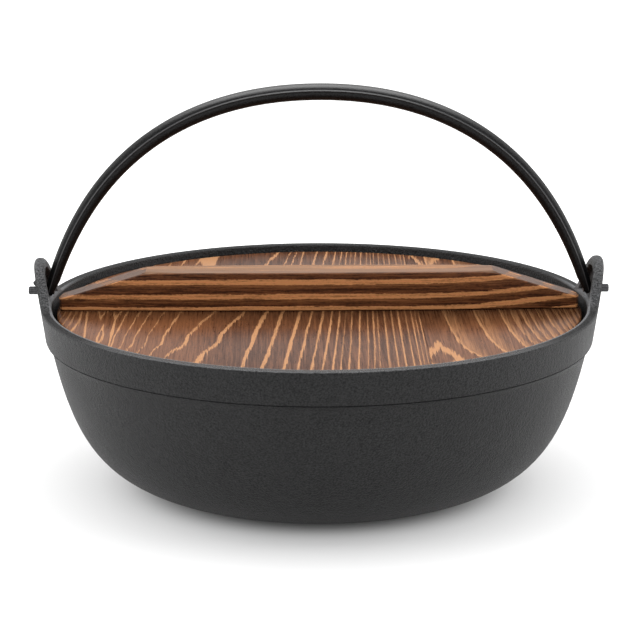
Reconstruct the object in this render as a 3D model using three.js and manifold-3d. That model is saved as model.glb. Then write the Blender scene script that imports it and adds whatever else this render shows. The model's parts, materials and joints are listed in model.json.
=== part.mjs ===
// Cast iron hot pot with a swinging bail and a drop-in wooden lid.
// Millimetres, +Z up. The origin lies on the table, under the middle of the base.
// X runs along the pivot axis of the bail, and the front of the pot faces -Y.

import * as THREE from 'three';
import { mergeVertices } from 'three/addons/utils/BufferGeometryUtils.js';
import Module from 'manifold-3d';

const wasm = await Module();
wasm.setup();

// Pot casting
const POT_HEIGHT = 92.8; // table to the top of the rim
const RIM_RADIUS = 140; // outside of the band at the rim
const RIM_THICKNESS = 5.4; // wall of the band
const RIM_ROUND = 1; // rounding of both edges of the rim
const BAND_HEIGHT = 16.5; // rim to the step under the band
const BAND_FLARE = 8.1; // lean of the band's outside, degrees
const STEP_DEPTH = 2.8; // the bowl lies this far inside the band's foot
const STEP_DROP = 3.6; // height of the sloped step
const BOWL_LEAN = 12.2; // lean of the bowl's wall under the step, degrees
const BOWL_SIDE = 48.7; // reach of that lean down the side
const BOWL_SPREAD = 42; // reach of the base's spread out to the side
const BASE_LIFT = 7.3; // rise of the underside at the edge of the base, degrees
const BASE_RADIUS = 70;
const FOOT_RING_WIDTH = 12; // flat ring that the pot stands on
const FOOT_RECESS = 1; // hollow of the base inside that ring
const FOOT_DRAFT = 2; // width of the slope from the ring into that hollow
const WALL = 4.8; // wall of the bowl
const BASE_THICKNESS = 5.8; // floor of the bowl above the table
const FLOOR_SPREAD = 2; // width over height of the slope where the floor meets the wall
const LEDGE_WIDTH = 4.5; // seat of the lid inside the band

// Ears, which carry the band's cone upwards
const EAR_HEIGHT = 22.2; // above the rim
const EAR_HALF_WIDTH = 29; // at the rim, where the outline runs out
const EAR_SKIRT = 10; // reach of the flat run-out along the rim
const EAR_SHOULDER = 20; // reach of the flat top to each side
const EAR_TOP_THICKNESS = 5.2;
const EAR_ROOT = 6; // depth of the ear's root inside the band
const EAR_INSET = 0.15; // outside of the ear inside the band's cone
const POCKET_DEPTH = 2.75; // hollow in the ear's inner face, for the bail's foot
const POCKET_BORDER = 4.5; // border left round that hollow
const POCKET_FLOOR = 0.5; // lower edge of the hollow above the rim

// Bail and its pins
const PIVOT_RISE = 5.9; // pivot axis above the rim
const BAIL_RISE = 100.1; // pivot axis to the rod's centre at the crown
const BAIL_TOP_RADIUS = 4.2;
const BAIL_FOOT_RADIUS = 2.9;
const BAIL_TAPER = 4; // power of the taper, which lies mostly near the feet
const BAIL_END_RADIUS = 3.3; // round end of the foot
const BAIL_CROWN = 34.3; // reach of the level crown to each side
const BAIL_LEG = 96.2; // reach of the legs' lean upwards
const BAIL_LEAN = 17; // lean of the legs at the foot, degrees
const BAIL_SIDE_PLAY = 1; // foot's end face to the floor of the ear's hollow
const BAIL_FOOT_INSET = 2.2; // rod's centre to its end face at the pivot
const PIN_RADIUS = 2.1;
const PIN_SEAT = 4; // length inside the bail's foot
const PIN_PROUD = 5.3; // length that shows outside the ear
const PIN_CHAMFER = 0.7;
const PIN_CLEARANCE = 0.3;

// Lid
const LID_SINK = 3.3; // top of the boards below the rim
const LID_THICKNESS = 10;
const LID_GAP = 0.95; // edge of the lid to the band, at the seat
const LID_ARRIS = 0.8; // broken edges of the boards
const SEAT_GAP = 0.2;
const JOINT_X = 49.5; // joint between the two boards
const GLUE_LINE = 0.06;
const BAR_HEIGHT = 19.6;
const BAR_WIDTH = 19.2;
const BAR_END_HEIGHT = 5.8;
const BAR_END_WIDTH = 13;
const BAR_TOP_HALF = 87; // half the length of the level top
const BAR_INSET = 0.75; // end of the bar inside the lid's edge
const BAR_END_ROUND = 1.7; // bulge of the bar's ends, in plan

// Screws and dowels of the lid
const SCREW_RADIUS = 2;
const SCREW_HEAD_RADIUS = 4;
const SCREW_HEAD_HEIGHT = 2.4;
const SCREW_LENGTH = 21;
const SCREW_TIP = 3.5;
const SCREW_SINK = 0.6; // head below the lid's underside
const SCREW_SLOT = 1; // width of the cross recess
const SCREW_SLOT_REACH = 2.2; // middle of the head to the end of the recess
const SCREW_SLOT_DEPTH = 1.4;
const SCREW_PLACES = [-100, -30, 30, 100]; // along the bar
const DOWEL_RADIUS = 2.5;
const DOWEL_LENGTH = 30;
const DOWEL_CHAMFER = 0.6;
const DOWEL_OFFSET = 70; // to the front and to the rear
const FIT_GAP = 0.3; // round a piece that is fixed in its hole
const CUT_MARGIN = 1; // a cut starts this far outside the piece

// Facets
const POT_SEGMENTS = 72;
const BOWL_STEPS = 12;
const ROUND_STEPS = 2;
const LID_SEGMENTS = 72;
const ROD_STEPS = 44;
const ROD_SIDES = 12;
const SMALL_SIDES = 16;
const CURVE_STEPS = 10;

const rad = THREE.MathUtils.degToRad;
const REACH = 2 * RIM_RADIUS; // long enough to pass through the whole pot

// Heights and places that follow from the sizes above
const PIVOT_Z = POT_HEIGHT + PIVOT_RISE;
const LID_BOTTOM_Z = POT_HEIGHT - LID_SINK - LID_THICKNESS;
const LEDGE_Z = LID_BOTTOM_Z - SEAT_GAP;
const STEP_Z = POT_HEIGHT - BAND_HEIGHT;
const SHOULDER_Z = STEP_Z - STEP_DROP;

const bandOuter = (z) => RIM_RADIUS + (z - POT_HEIGHT) * Math.tan(rad(BAND_FLARE));
const bandInner = (z) => bandOuter(z) - RIM_THICKNESS;
const earOuter = (z) => bandOuter(z) - EAR_INSET;
const earThickness = (z) =>
  THREE.MathUtils.mapLinear(z, POT_HEIGHT, POT_HEIGHT + EAR_HEIGHT, RIM_THICKNESS, EAR_TOP_THICKNESS);
const earInner = (z) => bandOuter(z) - earThickness(z);

const BAIL_END_X = earInner(PIVOT_Z) + POCKET_DEPTH - BAIL_SIDE_PLAY;
const BAIL_HALF_SPAN = BAIL_END_X - BAIL_FOOT_INSET;
const LID_RADIUS = bandInner(LEDGE_Z) - LID_GAP;
const BAR_HALF_LENGTH = LID_RADIUS - BAR_INSET;

// Turns a closed geometry into a solid that can be joined and cut.
function solid(geometry) {
  const bare = geometry.index ? geometry.toNonIndexed() : geometry.clone();
  bare.deleteAttribute('normal');
  bare.deleteAttribute('uv');
  const merged = mergeVertices(bare, 1e-4);
  const index = merged.index.array;
  const triangles = [];
  for (let i = 0; i < index.length; i += 3) {
    const [a, b, c] = index.subarray(i, i + 3);
    if (a !== b && b !== c && c !== a) {
      triangles.push(a, b, c);
    }
  }
  return new wasm.Manifold(
    new wasm.Mesh({
      numProp: 3,
      vertProperties: Float32Array.from(merged.attributes.position.array),
      triVerts: Uint32Array.from(triangles),
    }),
  );
}

// Turns a solid back into a geometry with flat facets.
function facets(body) {
  const mesh = body.getMesh();
  const geometry = new THREE.BufferGeometry();
  geometry.setAttribute('position', new THREE.BufferAttribute(Float32Array.from(mesh.vertProperties), 3));
  geometry.setIndex(Array.from(mesh.triVerts));
  geometry.computeVertexNormals();
  return geometry;
}

// Turns a profile of [radius, height] pairs about Z.
function turned(profile, segments) {
  const points = profile.map(([radius, height]) => new THREE.Vector2(radius, height));
  return solid(new THREE.LatheGeometry(points, segments).rotateX(Math.PI / 2));
}

// Round bar along X between two places, with a chamfer at either end.
function crossBar(radius, from, to, chamferFrom, chamferTo) {
  const profile = [
    [0, from],
    [radius - chamferFrom, from],
    [radius, from + chamferFrom],
    [radius, to - chamferTo],
    [radius - chamferTo, to],
    [0, to],
  ];
  return turned(profile, SMALL_SIDES).rotate([0, 90, 0]);
}

// Plain block from its low corner to its high corner.
function block(low, high) {
  const size = high.map((value, axis) => value - low[axis]);
  const middle = high.map((value, axis) => (value + low[axis]) / 2);
  return solid(new THREE.BoxGeometry(...size).translate(...middle));
}

// Extrudes an outline in (Y, Z) along X, through the whole pot.
function throughX(shape) {
  const geometry = new THREE.ExtrudeGeometry(shape, {
    depth: 2 * REACH,
    bevelEnabled: false,
    curveSegments: CURVE_STEPS,
  });
  geometry.translate(0, 0, -REACH);
  geometry.rotateX(Math.PI / 2);
  geometry.rotateZ(Math.PI / 2);
  return solid(geometry);
}

// Quarter round from one corner direction to the next, about a centre in (radius, height).
function quarterRound(centreRadius, centreHeight, radius, startDegrees) {
  const points = [];
  for (let step = 0; step <= ROUND_STEPS; step += 1) {
    const angle = rad(startDegrees + (90 * step) / ROUND_STEPS);
    points.push([centreRadius + radius * Math.cos(angle), centreHeight + radius * Math.sin(angle)]);
  }
  return points;
}

// Outside of the bowl, from the step down to the base, as one curve in (radius, height).
function bowlCurve() {
  const shoulder = new THREE.Vector2(bandOuter(STEP_Z) - STEP_DEPTH, SHOULDER_Z);
  const base = new THREE.Vector2(BASE_RADIUS, 0);
  const lean = rad(BOWL_LEAN);
  const lift = rad(BASE_LIFT);
  const side = new THREE.Vector2(-Math.sin(lean), -Math.cos(lean)).multiplyScalar(BOWL_SIDE).add(shoulder);
  const spread = new THREE.Vector2(Math.cos(lift), Math.sin(lift)).multiplyScalar(BOWL_SPREAD).add(base);
  return new THREE.CubicBezierCurve(shoulder, side, spread, base);
}

function bowl() {
  const curve = bowlCurve();
  const outside = [];
  const inside = [];
  const ledgeRadius = bandInner(LEDGE_Z) - LEDGE_WIDTH;
  for (let step = BOWL_STEPS; step >= 0; step -= 1) {
    const at = step / BOWL_STEPS;
    const point = curve.getPoint(at);
    const along = curve.getTangent(at);
    outside.push([point.x, point.y]);
    const inner = [point.x + along.y * WALL, point.y - along.x * WALL];
    if (inner[1] > BASE_THICKNESS && inner[0] < ledgeRadius && inner[1] < LEDGE_Z) {
      inside.push(inner);
    }
  }
  const ringInside = BASE_RADIUS - FOOT_RING_WIDTH;
  const rimOuter = bandOuter(POT_HEIGHT - RIM_ROUND);
  const rimInner = bandInner(POT_HEIGHT - RIM_ROUND);
  const floorEdge = [inside[0][0] - FLOOR_SPREAD * (inside[0][1] - BASE_THICKNESS), BASE_THICKNESS];
  const profile = [
    [0, FOOT_RECESS],
    [ringInside - FOOT_DRAFT, FOOT_RECESS],
    [ringInside, 0],
    ...outside,
    [bandOuter(STEP_Z), STEP_Z],
    ...quarterRound(rimOuter - RIM_ROUND, POT_HEIGHT - RIM_ROUND, RIM_ROUND, 0),
    ...quarterRound(rimInner + RIM_ROUND, POT_HEIGHT - RIM_ROUND, RIM_ROUND, 90),
    [bandInner(LEDGE_Z), LEDGE_Z],
    [ledgeRadius, LEDGE_Z],
    ...inside.reverse(),
    floorEdge,
    [0, BASE_THICKNESS],
  ];
  return turned(profile, POT_SEGMENTS);
}

// Bell outline of an ear in (Y, Z), drawn in from its edge by a border.
function earOutline(border, footZ) {
  const half = EAR_HALF_WIDTH - border;
  const top = POT_HEIGHT + EAR_HEIGHT - border;
  const skirtZ = Math.max(footZ, POT_HEIGHT);
  const skirt = EAR_HALF_WIDTH - EAR_SKIRT - border;
  const shoulder = EAR_SHOULDER - border;
  const shape = new THREE.Shape();
  shape.moveTo(-half, footZ);
  shape.lineTo(half, footZ);
  if (skirtZ > footZ) {
    shape.lineTo(half, skirtZ);
  }
  shape.bezierCurveTo(skirt, skirtZ, shoulder, top, 0, top);
  shape.bezierCurveTo(-shoulder, top, -skirt, skirtZ, -half, skirtZ);
  if (skirtZ > footZ) {
    shape.lineTo(-half, footZ);
  }
  return shape;
}

// Ring about Z between two radii given at a low and a high place.
function ring(low, high, inner, outer) {
  const profile = [
    [inner(low), low],
    [outer(low), low],
    [outer(high), high],
    [inner(high), high],
    [inner(low), low],
  ];
  return turned(profile, POT_SEGMENTS);
}

function ears() {
  const low = POT_HEIGHT - EAR_ROOT;
  const high = POT_HEIGHT + EAR_HEIGHT + CUT_MARGIN;
  const inner = (z) => (z < POT_HEIGHT ? bandInner(z) + EAR_INSET : earInner(z));
  return ring(low, high, inner, earOuter).intersect(throughX(earOutline(0, low)));
}

function earHollows() {
  const low = POT_HEIGHT + POCKET_FLOOR;
  const high = POT_HEIGHT + EAR_HEIGHT;
  const floor = (z) => earInner(z) + POCKET_DEPTH;
  const inside = (z) => earInner(z) - RIM_THICKNESS;
  return ring(low - CUT_MARGIN, high, inside, floor).intersect(throughX(earOutline(POCKET_BORDER, low)));
}

function potBody() {
  const pinHole = crossBar(PIN_RADIUS + PIN_CLEARANCE, -REACH, REACH, 0, 0).translate([0, 0, PIVOT_Z]);
  return bowl().add(ears()).subtract(earHollows()).subtract(pinHole);
}

// Half of the bail's centre line in (X, Z) about the pivot axis, from the crown to the right foot.
function bailHalf() {
  const lean = rad(BAIL_LEAN);
  const crown = new THREE.Vector3(0, 0, BAIL_RISE);
  const foot = new THREE.Vector3(BAIL_HALF_SPAN, 0, 0);
  const level = new THREE.Vector3(BAIL_CROWN, 0, BAIL_RISE);
  const leg = new THREE.Vector3(-Math.sin(lean), 0, Math.cos(lean)).multiplyScalar(BAIL_LEG).add(foot);
  return new THREE.CubicBezierCurve3(crown, level, leg, foot);
}

// Tapered round rod along the whole arch, thickest at the crown, with flat ends.
function bailRod() {
  const half = bailHalf();
  const across = new THREE.Vector3(0, 1, 0);
  const positions = [];
  const index = [];
  for (let step = 0; step <= ROD_STEPS; step += 1) {
    const along = (2 * step) / ROD_STEPS - 1;
    const at = Math.abs(along);
    const mirror = new THREE.Vector3(along < 0 ? -1 : 1, 1, 1);
    const centre = half.getPointAt(at).multiply(mirror);
    const tangent = half.getTangentAt(at).multiply(mirror);
    if (along < 0) {
      tangent.negate();
    }
    const outward = new THREE.Vector3().crossVectors(across, tangent).negate();
    const radius = THREE.MathUtils.lerp(BAIL_TOP_RADIUS, BAIL_FOOT_RADIUS, at ** BAIL_TAPER);
    for (let side = 0; side < ROD_SIDES; side += 1) {
      const angle = (2 * Math.PI * side) / ROD_SIDES;
      const point = centre
        .clone()
        .addScaledVector(outward, radius * Math.cos(angle))
        .addScaledVector(across, radius * Math.sin(angle));
      positions.push(...point.toArray());
    }
  }
  for (let step = 0; step < ROD_STEPS; step += 1) {
    for (let side = 0; side < ROD_SIDES; side += 1) {
      const next = (side + 1) % ROD_SIDES;
      const a = step * ROD_SIDES + side;
      const b = step * ROD_SIDES + next;
      const c = a + ROD_SIDES;
      const d = b + ROD_SIDES;
      index.push(a, c, b, b, c, d);
    }
  }
  const last = ROD_STEPS * ROD_SIDES;
  for (let side = 1; side < ROD_SIDES - 1; side += 1) {
    index.push(0, side, side + 1);
    index.push(last, last + side + 1, last + side);
  }
  const geometry = new THREE.BufferGeometry();
  geometry.setAttribute('position', new THREE.Float32BufferAttribute(positions, 3));
  geometry.setIndex(index);
  return solid(geometry);
}

// The bail about the pivot axis, with round feet that are cut off square and bored for the pins.
function bail() {
  let body = bailRod();
  const boreDepth = BAIL_END_X - PIN_SEAT - FIT_GAP;
  for (const side of [-1, 1]) {
    const end = new THREE.SphereGeometry(BAIL_END_RADIUS, SMALL_SIDES, SMALL_SIDES / 2);
    end.translate(side * BAIL_HALF_SPAN, 0, 0);
    const beyond = [side * BAIL_END_X, side * REACH].sort((a, b) => a - b);
    const bore = [side * boreDepth, side * REACH].sort((a, b) => a - b);
    body = body.add(solid(end));
    body = body.subtract(block([beyond[0], -REACH, -REACH], [beyond[1], REACH, REACH]));
    body = body.subtract(crossBar(PIN_RADIUS + FIT_GAP, bore[0], bore[1], 0, 0));
  }
  return body;
}

// Pin on the pivot axis, for the right ear.
function pivotPin() {
  const tip = bandOuter(PIVOT_Z) + PIN_PROUD;
  return crossBar(PIN_RADIUS, BAIL_END_X - PIN_SEAT, tip, 0, PIN_CHAMFER);
}

// Screw with its point up, its head's flat at the height given.
function screwProfile(headZ, gap) {
  const neck = headZ + SCREW_HEAD_HEIGHT;
  const tip = headZ + SCREW_LENGTH + gap;
  return [
    [0, headZ],
    [SCREW_HEAD_RADIUS + gap, headZ],
    [SCREW_RADIUS + gap, neck],
    [SCREW_RADIUS + gap, tip - SCREW_TIP],
    [gap, tip],
    [0, tip],
  ];
}

function screw() {
  const half = SCREW_SLOT / 2;
  const deep = SCREW_SINK + SCREW_SLOT_DEPTH;
  const slot = block([-SCREW_SLOT_REACH, -half, 0], [SCREW_SLOT_REACH, half, deep]);
  const shape = turned(screwProfile(SCREW_SINK, 0).slice(0, -1), SMALL_SIDES);
  return shape.subtract(slot).subtract(slot.rotate([0, 0, 90]));
}

// Room for a screw in the boards and the bar, open at the lid's underside.
function screwHole() {
  const well = [
    [0, -CUT_MARGIN],
    [SCREW_HEAD_RADIUS + FIT_GAP, -CUT_MARGIN],
    ...screwProfile(SCREW_SINK, FIT_GAP).slice(1),
  ];
  return turned(well, SMALL_SIDES);
}

function dowel(gap) {
  const half = DOWEL_LENGTH / 2 + gap;
  const chamfer = gap > 0 ? 0 : DOWEL_CHAMFER;
  return crossBar(DOWEL_RADIUS + gap, JOINT_X - half, JOINT_X + half, chamfer, chamfer);
}

// Takes the holes of the screws and dowels out of a piece of the lid.
function drilled(body) {
  let left = body;
  for (const x of SCREW_PLACES) {
    left = left.subtract(screwHole().translate([x, 0, 0]));
  }
  for (const y of [-DOWEL_OFFSET, DOWEL_OFFSET]) {
    left = left.subtract(dowel(FIT_GAP).translate([0, y, LID_THICKNESS / 2]));
  }
  return left;
}

// One board of the lid, between two places along X.
function board(from, to) {
  const disc = turned(
    [
      [0, 0],
      [LID_RADIUS - LID_ARRIS, 0],
      [LID_RADIUS, LID_ARRIS],
      [LID_RADIUS, LID_THICKNESS - LID_ARRIS],
      [LID_RADIUS - LID_ARRIS, LID_THICKNESS],
      [0, LID_THICKNESS],
    ],
    LID_SEGMENTS,
  );
  return drilled(disc.intersect(block([from, -REACH, -REACH], [to, REACH, REACH])));
}

// Cross bar: a side view with sloped ends, met by a plan with bowed sides and rounded ends.
function bar() {
  const half = BAR_HALF_LENGTH;
  const past = half + CUT_MARGIN;
  const pastHeight = THREE.MathUtils.mapLinear(past, BAR_TOP_HALF, half, BAR_HEIGHT, BAR_END_HEIGHT);
  const side = new THREE.Shape();
  side.moveTo(-past, 0);
  side.lineTo(past, 0);
  side.lineTo(past, pastHeight);
  side.lineTo(BAR_TOP_HALF, BAR_HEIGHT);
  side.lineTo(-BAR_TOP_HALF, BAR_HEIGHT);
  side.lineTo(-past, pastHeight);
  const sideView = new THREE.ExtrudeGeometry(side, { depth: 2 * BAR_WIDTH, bevelEnabled: false });
  sideView.translate(0, 0, -BAR_WIDTH).rotateX(Math.PI / 2);
  const end = BAR_END_WIDTH / 2;
  const bow = BAR_WIDTH - end;
  const corner = half - BAR_END_ROUND;
  const bulge = half + BAR_END_ROUND;
  const plan = new THREE.Shape();
  plan.moveTo(-corner, -end);
  plan.quadraticCurveTo(0, -bow, corner, -end);
  plan.quadraticCurveTo(bulge, 0, corner, end);
  plan.quadraticCurveTo(0, bow, -corner, end);
  plan.quadraticCurveTo(-bulge, 0, -corner, -end);
  const planView = new THREE.ExtrudeGeometry(plan, {
    depth: BAR_HEIGHT + 2 * CUT_MARGIN,
    bevelEnabled: false,
    curveSegments: CURVE_STEPS,
  });
  planView.translate(0, 0, -CUT_MARGIN);
  const seat = LID_THICKNESS + GLUE_LINE;
  return drilled(solid(sideView).intersect(solid(planView)).translate([0, 0, seat]));
}

const castIron = new THREE.MeshStandardMaterial({ color: 0x3a3b3d, roughness: 0.62, metalness: 0.5 });
const bailIron = new THREE.MeshStandardMaterial({ color: 0x2f3032, roughness: 0.55, metalness: 0.5 });
const pinSteel = new THREE.MeshStandardMaterial({ color: 0x45474a, roughness: 0.45, metalness: 0.8 });
const boardWood = new THREE.MeshStandardMaterial({ color: 0x6b4a33, roughness: 0.7, metalness: 0 });
const barWood = new THREE.MeshStandardMaterial({ color: 0x7a5233, roughness: 0.65, metalness: 0 });
const dowelWood = new THREE.MeshStandardMaterial({ color: 0xc39a68, roughness: 0.75, metalness: 0 });
const screwSteel = new THREE.MeshStandardMaterial({ color: 0x9a9c9f, roughness: 0.35, metalness: 1 });

function piece(name, body, material) {
  const mesh = new THREE.Mesh(facets(body), material);
  mesh.name = name;
  return mesh;
}

// Pieces that swing with the bail, about the pivot axis
const bailGroup = new THREE.Group();
bailGroup.position.z = PIVOT_Z;
bailGroup.add(piece('bail_handle', bail(), bailIron));
bailGroup.add(piece('pivot_pin_left', pivotPin().mirror([1, 0, 0]), pinSteel));
bailGroup.add(piece('pivot_pin_right', pivotPin(), pinSteel));

// Pieces of the lid, above its underside
const lidGroup = new THREE.Group();
lidGroup.position.z = LID_BOTTOM_Z;
lidGroup.add(piece('lid_board_wide', board(-REACH, JOINT_X - GLUE_LINE / 2), boardWood));
lidGroup.add(piece('lid_board_narrow', board(JOINT_X + GLUE_LINE / 2, REACH), boardWood));
lidGroup.add(piece('lid_bar', bar(), barWood));
SCREW_PLACES.forEach((x, place) => {
  const mesh = piece(`lid_screw_${place + 1}`, screw(), screwSteel);
  mesh.position.x = x;
  lidGroup.add(mesh);
});
for (const [name, y] of [['edge_dowel_front', -DOWEL_OFFSET], ['edge_dowel_rear', DOWEL_OFFSET]]) {
  const mesh = piece(name, dowel(0), dowelWood);
  mesh.position.set(0, y, LID_THICKNESS / 2);
  lidGroup.add(mesh);
}

const pot = new THREE.Group();
pot.add(piece('pot_body', potBody(), castIron));
pot.add(bailGroup);
pot.add(lidGroup);

export default pot;
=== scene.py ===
"""Looks of a cast iron hot pot with a swinging bail and a drop-in wooden lid.

Metres, +Z up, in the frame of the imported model: X runs along the pivot axis of the bail,
and the front of the pot faces -Y.
"""

import json
import logging
import math
from collections.abc import Callable, Iterable
from dataclasses import astuple, dataclass, field
from enum import Enum
from functools import reduce
from typing import Any

import bmesh
import bpy
from bmesh.types import BMEdge, BMesh, BMVert
from mathutils import Matrix, Vector


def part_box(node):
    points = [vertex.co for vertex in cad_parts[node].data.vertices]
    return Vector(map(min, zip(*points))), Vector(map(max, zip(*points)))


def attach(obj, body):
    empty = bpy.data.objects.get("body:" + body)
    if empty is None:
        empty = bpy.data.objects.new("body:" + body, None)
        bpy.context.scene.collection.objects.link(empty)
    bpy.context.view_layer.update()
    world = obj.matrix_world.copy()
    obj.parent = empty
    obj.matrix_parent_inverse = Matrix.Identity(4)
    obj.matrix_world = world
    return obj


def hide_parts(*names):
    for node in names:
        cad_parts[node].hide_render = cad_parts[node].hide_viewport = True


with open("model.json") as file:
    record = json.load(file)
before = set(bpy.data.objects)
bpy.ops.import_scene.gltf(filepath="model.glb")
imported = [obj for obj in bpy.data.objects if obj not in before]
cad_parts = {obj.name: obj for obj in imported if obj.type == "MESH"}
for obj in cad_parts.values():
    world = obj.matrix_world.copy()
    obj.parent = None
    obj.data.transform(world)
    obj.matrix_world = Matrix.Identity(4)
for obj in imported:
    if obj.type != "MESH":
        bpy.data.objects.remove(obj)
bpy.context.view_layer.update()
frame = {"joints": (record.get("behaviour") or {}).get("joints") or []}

MM = 0.001
MERGE = 1e-6  # vertices closer than this are one
SMOOTH = 35.0  # corners sharper than this, in degrees, stay sharp
CORNER = 60.0  # edges that turn by more degrees than this are corners
ROUND = 0.5  # profile of a bevel that is a quarter of a circle
PICTURE = 640  # pixels along each side of the picture
SEAM_HIGHLIGHT = "worn"  # name of the value that marks where a highlight is painted along the bail's seam
WHITE = (1.0, 1.0, 1.0)

log = logging.getLogger("hot_pot")

Pair = tuple[float, float]
Triple = tuple[float, float, float]
Colour = Triple
Curve = tuple[Vector, Vector, Vector, Vector]  # start, its handle, the end's handle and the end


class Body(Enum):
    """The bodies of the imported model."""

    POT = "pot"
    BAIL = "bail"
    LID = "lid"


class Side(Enum):
    """The two ends of the pivot axis, as seen from the front."""

    LEFT = -1
    RIGHT = 1


class Grain(Enum):
    """Which way a board's fibres run. The value names the axes across, along and into the board."""

    FRONT_TO_BACK = "XYZ"
    SIDE_TO_SIDE = "ZXY"


# Meshes


def bezier(points: Curve, t: float) -> Vector:
    """Point of a cubic curve.

    Args:
        points: the curve.
        t: 0 at the start, 1 at the end.

    Returns:
        The point.
    """
    a, b, c, d = points
    s = 1 - t
    return a * s**3 + b * (3 * s * s * t) + c * (3 * s * t * t) + d * t**3


def bezier_slope(points: Curve, t: float) -> Vector:
    """Direction of a cubic curve at t, with the arguments of bezier().

    Returns:
        The unit tangent.
    """
    a, b, c, d = points
    s = 1 - t
    return ((b - a) * s * s + (c - b) * (2 * s * t) + (d - c) * t * t).normalized()


def smoothstep(value: float, low: float, high: float) -> float:
    """Smooth rise from 0 at low to 1 at high."""
    t = min(max((value - low) / (high - low), 0.0), 1.0)
    return t * t * (3 - 2 * t)


def open_edges(bm: BMesh) -> list[BMEdge]:
    """Edges with a face on one side only."""
    return [edge for edge in bm.edges if edge.is_boundary]


def fill_holes(bm: BMesh) -> None:
    """Closes every open loop with one face."""
    bmesh.ops.edgeloop_fill(bm, edges=open_edges(bm))


def trim(bm: BMesh, place: Vector, outward: Vector, near: Callable[[BMVert], bool] = bool) -> None:
    """Cuts a closed mesh off at a plane and closes the cut.

    Args:
        bm: the mesh.
        place: a point on the plane.
        outward: the side that goes.
        near: which vertices the cut may touch; all of them unless it is given.
    """
    touched = {vertex for vertex in bm.verts if near(vertex)}
    geometry = [item for item in (*bm.edges, *bm.faces) if touched.issuperset(item.verts)]
    geometry += touched
    bmesh.ops.bisect_plane(
        bm, geom=geometry, plane_co=place, plane_no=outward, dist=MERGE, clear_outer=True
    )
    fill_holes(bm)


def break_edges(bm: BMesh, edges: list[BMEdge], width: float, segments: int = 2) -> None:
    """Rounds edges.

    Args:
        bm: the mesh.
        edges: the edges to round.
        width: how far the rounding reaches to each side.
        segments: faces across the rounding.
    """
    bmesh.ops.bevel(
        bm,
        geom=edges,
        offset=width,
        affect="EDGES",
        segments=segments,
        profile=ROUND,
        material=-1,
        clamp_overlap=True,
    )


def sharp_edges(bm: BMesh, degrees: float) -> list[BMEdge]:
    """Edges whose two faces meet at more than this angle."""
    limit = math.radians(degrees)
    return [edge for edge in bm.edges if len(edge.link_faces) == 2 and edge.calc_face_angle() > limit]


def sweep(
    bm: BMesh, sides: int, stations: Iterable[Matrix], section: Callable[[float], float]
) -> list[list[BMVert]]:
    """Draws a closed tube through a row of stations by extruding a ring from one to the next.

    Args:
        bm: the mesh that the tube is added to.
        sides: corners of the section.
        stations: places of the section; each takes the unit circle in XY to its ring.
        section: factor on the radius at an angle in radians.

    Returns:
        The vertices of each ring.
    """
    ring = bmesh.ops.create_circle(bm, cap_ends=False, segments=sides, radius=1.0)["verts"]
    for vertex in ring:
        vertex.co *= section(math.atan2(vertex.co.y, vertex.co.x))
    edges = list({edge for vertex in ring for edge in vertex.link_edges})
    place = Matrix.Identity(4)
    rings = []
    for station in stations:
        if rings:
            extruded = bmesh.ops.extrude_edge_only(bm, edges=edges)["geom"]
            ring = [item for item in extruded if isinstance(item, BMVert)]
            edges = [item for item in extruded if isinstance(item, BMEdge)]
        bmesh.ops.transform(bm, matrix=station @ place.inverted(), verts=ring)
        place = station
        rings.append(ring)
    fill_holes(bm)
    return rings


def mesh_object(bm: BMesh, name: str, smooth_angle: float = SMOOTH) -> bpy.types.Object:
    """Turns a bmesh into an object at the origin, with smooth faces and sharp corners.

    Args:
        bm: the mesh, which is freed.
        name: name of the object.
        smooth_angle: corners sharper than this, in degrees, stay sharp.

    Returns:
        The object, linked to the scene.
    """
    bmesh.ops.remove_doubles(bm, verts=bm.verts, dist=MERGE)
    bmesh.ops.recalc_face_normals(bm, faces=bm.faces)
    mesh = bpy.data.meshes.new(name)
    bm.to_mesh(mesh)
    bm.free()
    shade(mesh, smooth_angle)
    made = bpy.data.objects.new(name, mesh)
    bpy.context.scene.collection.objects.link(made)
    return made


def shade(mesh: bpy.types.Mesh, smooth_angle: float) -> None:
    """Makes faces smooth, apart from corners sharper than an angle in degrees."""
    mesh.shade_smooth()
    mesh.set_sharp_from_angle(angle=math.radians(smooth_angle))


def cut(target: bpy.types.Object, cutters: Iterable[BMesh], smooth_angle: float = SMOOTH) -> None:
    """Takes closed shapes out of a piece, for good.

    Args:
        target: the piece.
        cutters: the shapes, which are freed.
        smooth_angle: corners sharper than this, in degrees, stay sharp.
    """
    tools = [mesh_object(bm, f"{target.name}_cutter") for bm in cutters]
    for tool in tools:
        modifier = target.modifiers.new("cut", "BOOLEAN")
        modifier.operation = "DIFFERENCE"
        modifier.solver = "EXACT"
        modifier.object = tool
    evaluated = target.evaluated_get(bpy.context.evaluated_depsgraph_get())
    mesh = bpy.data.meshes.new_from_object(evaluated)
    old = target.data
    target.modifiers.clear()
    target.data = mesh
    mesh.name = target.name
    bpy.data.meshes.remove(old)
    shade(mesh, smooth_angle)
    for tool in tools:
        data = tool.data
        bpy.data.objects.remove(tool)
        bpy.data.meshes.remove(data)


def rod(radius: float, start: Vector, end: Vector, sides: int = 48, chamfer: float = 0.0) -> BMesh:
    """Round bar between two points.

    Args:
        radius: of the bar.
        start: middle of one end.
        end: middle of the other end.
        sides: corners of the section.
        chamfer: width of the broken edge at either end.

    Returns:
        A new mesh.
    """
    bm = bmesh.new()
    along = end - start
    turn = along.to_track_quat("Z", "Y").to_matrix().to_4x4()
    place = Matrix.Translation((start + end) / 2) @ turn
    bmesh.ops.create_cone(
        bm, cap_ends=True, segments=sides, radius1=radius, radius2=radius, depth=along.length, matrix=place
    )
    if chamfer > 0:
        break_edges(bm, sharp_edges(bm, CORNER), chamfer)
    return bm


# Finishes


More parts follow.
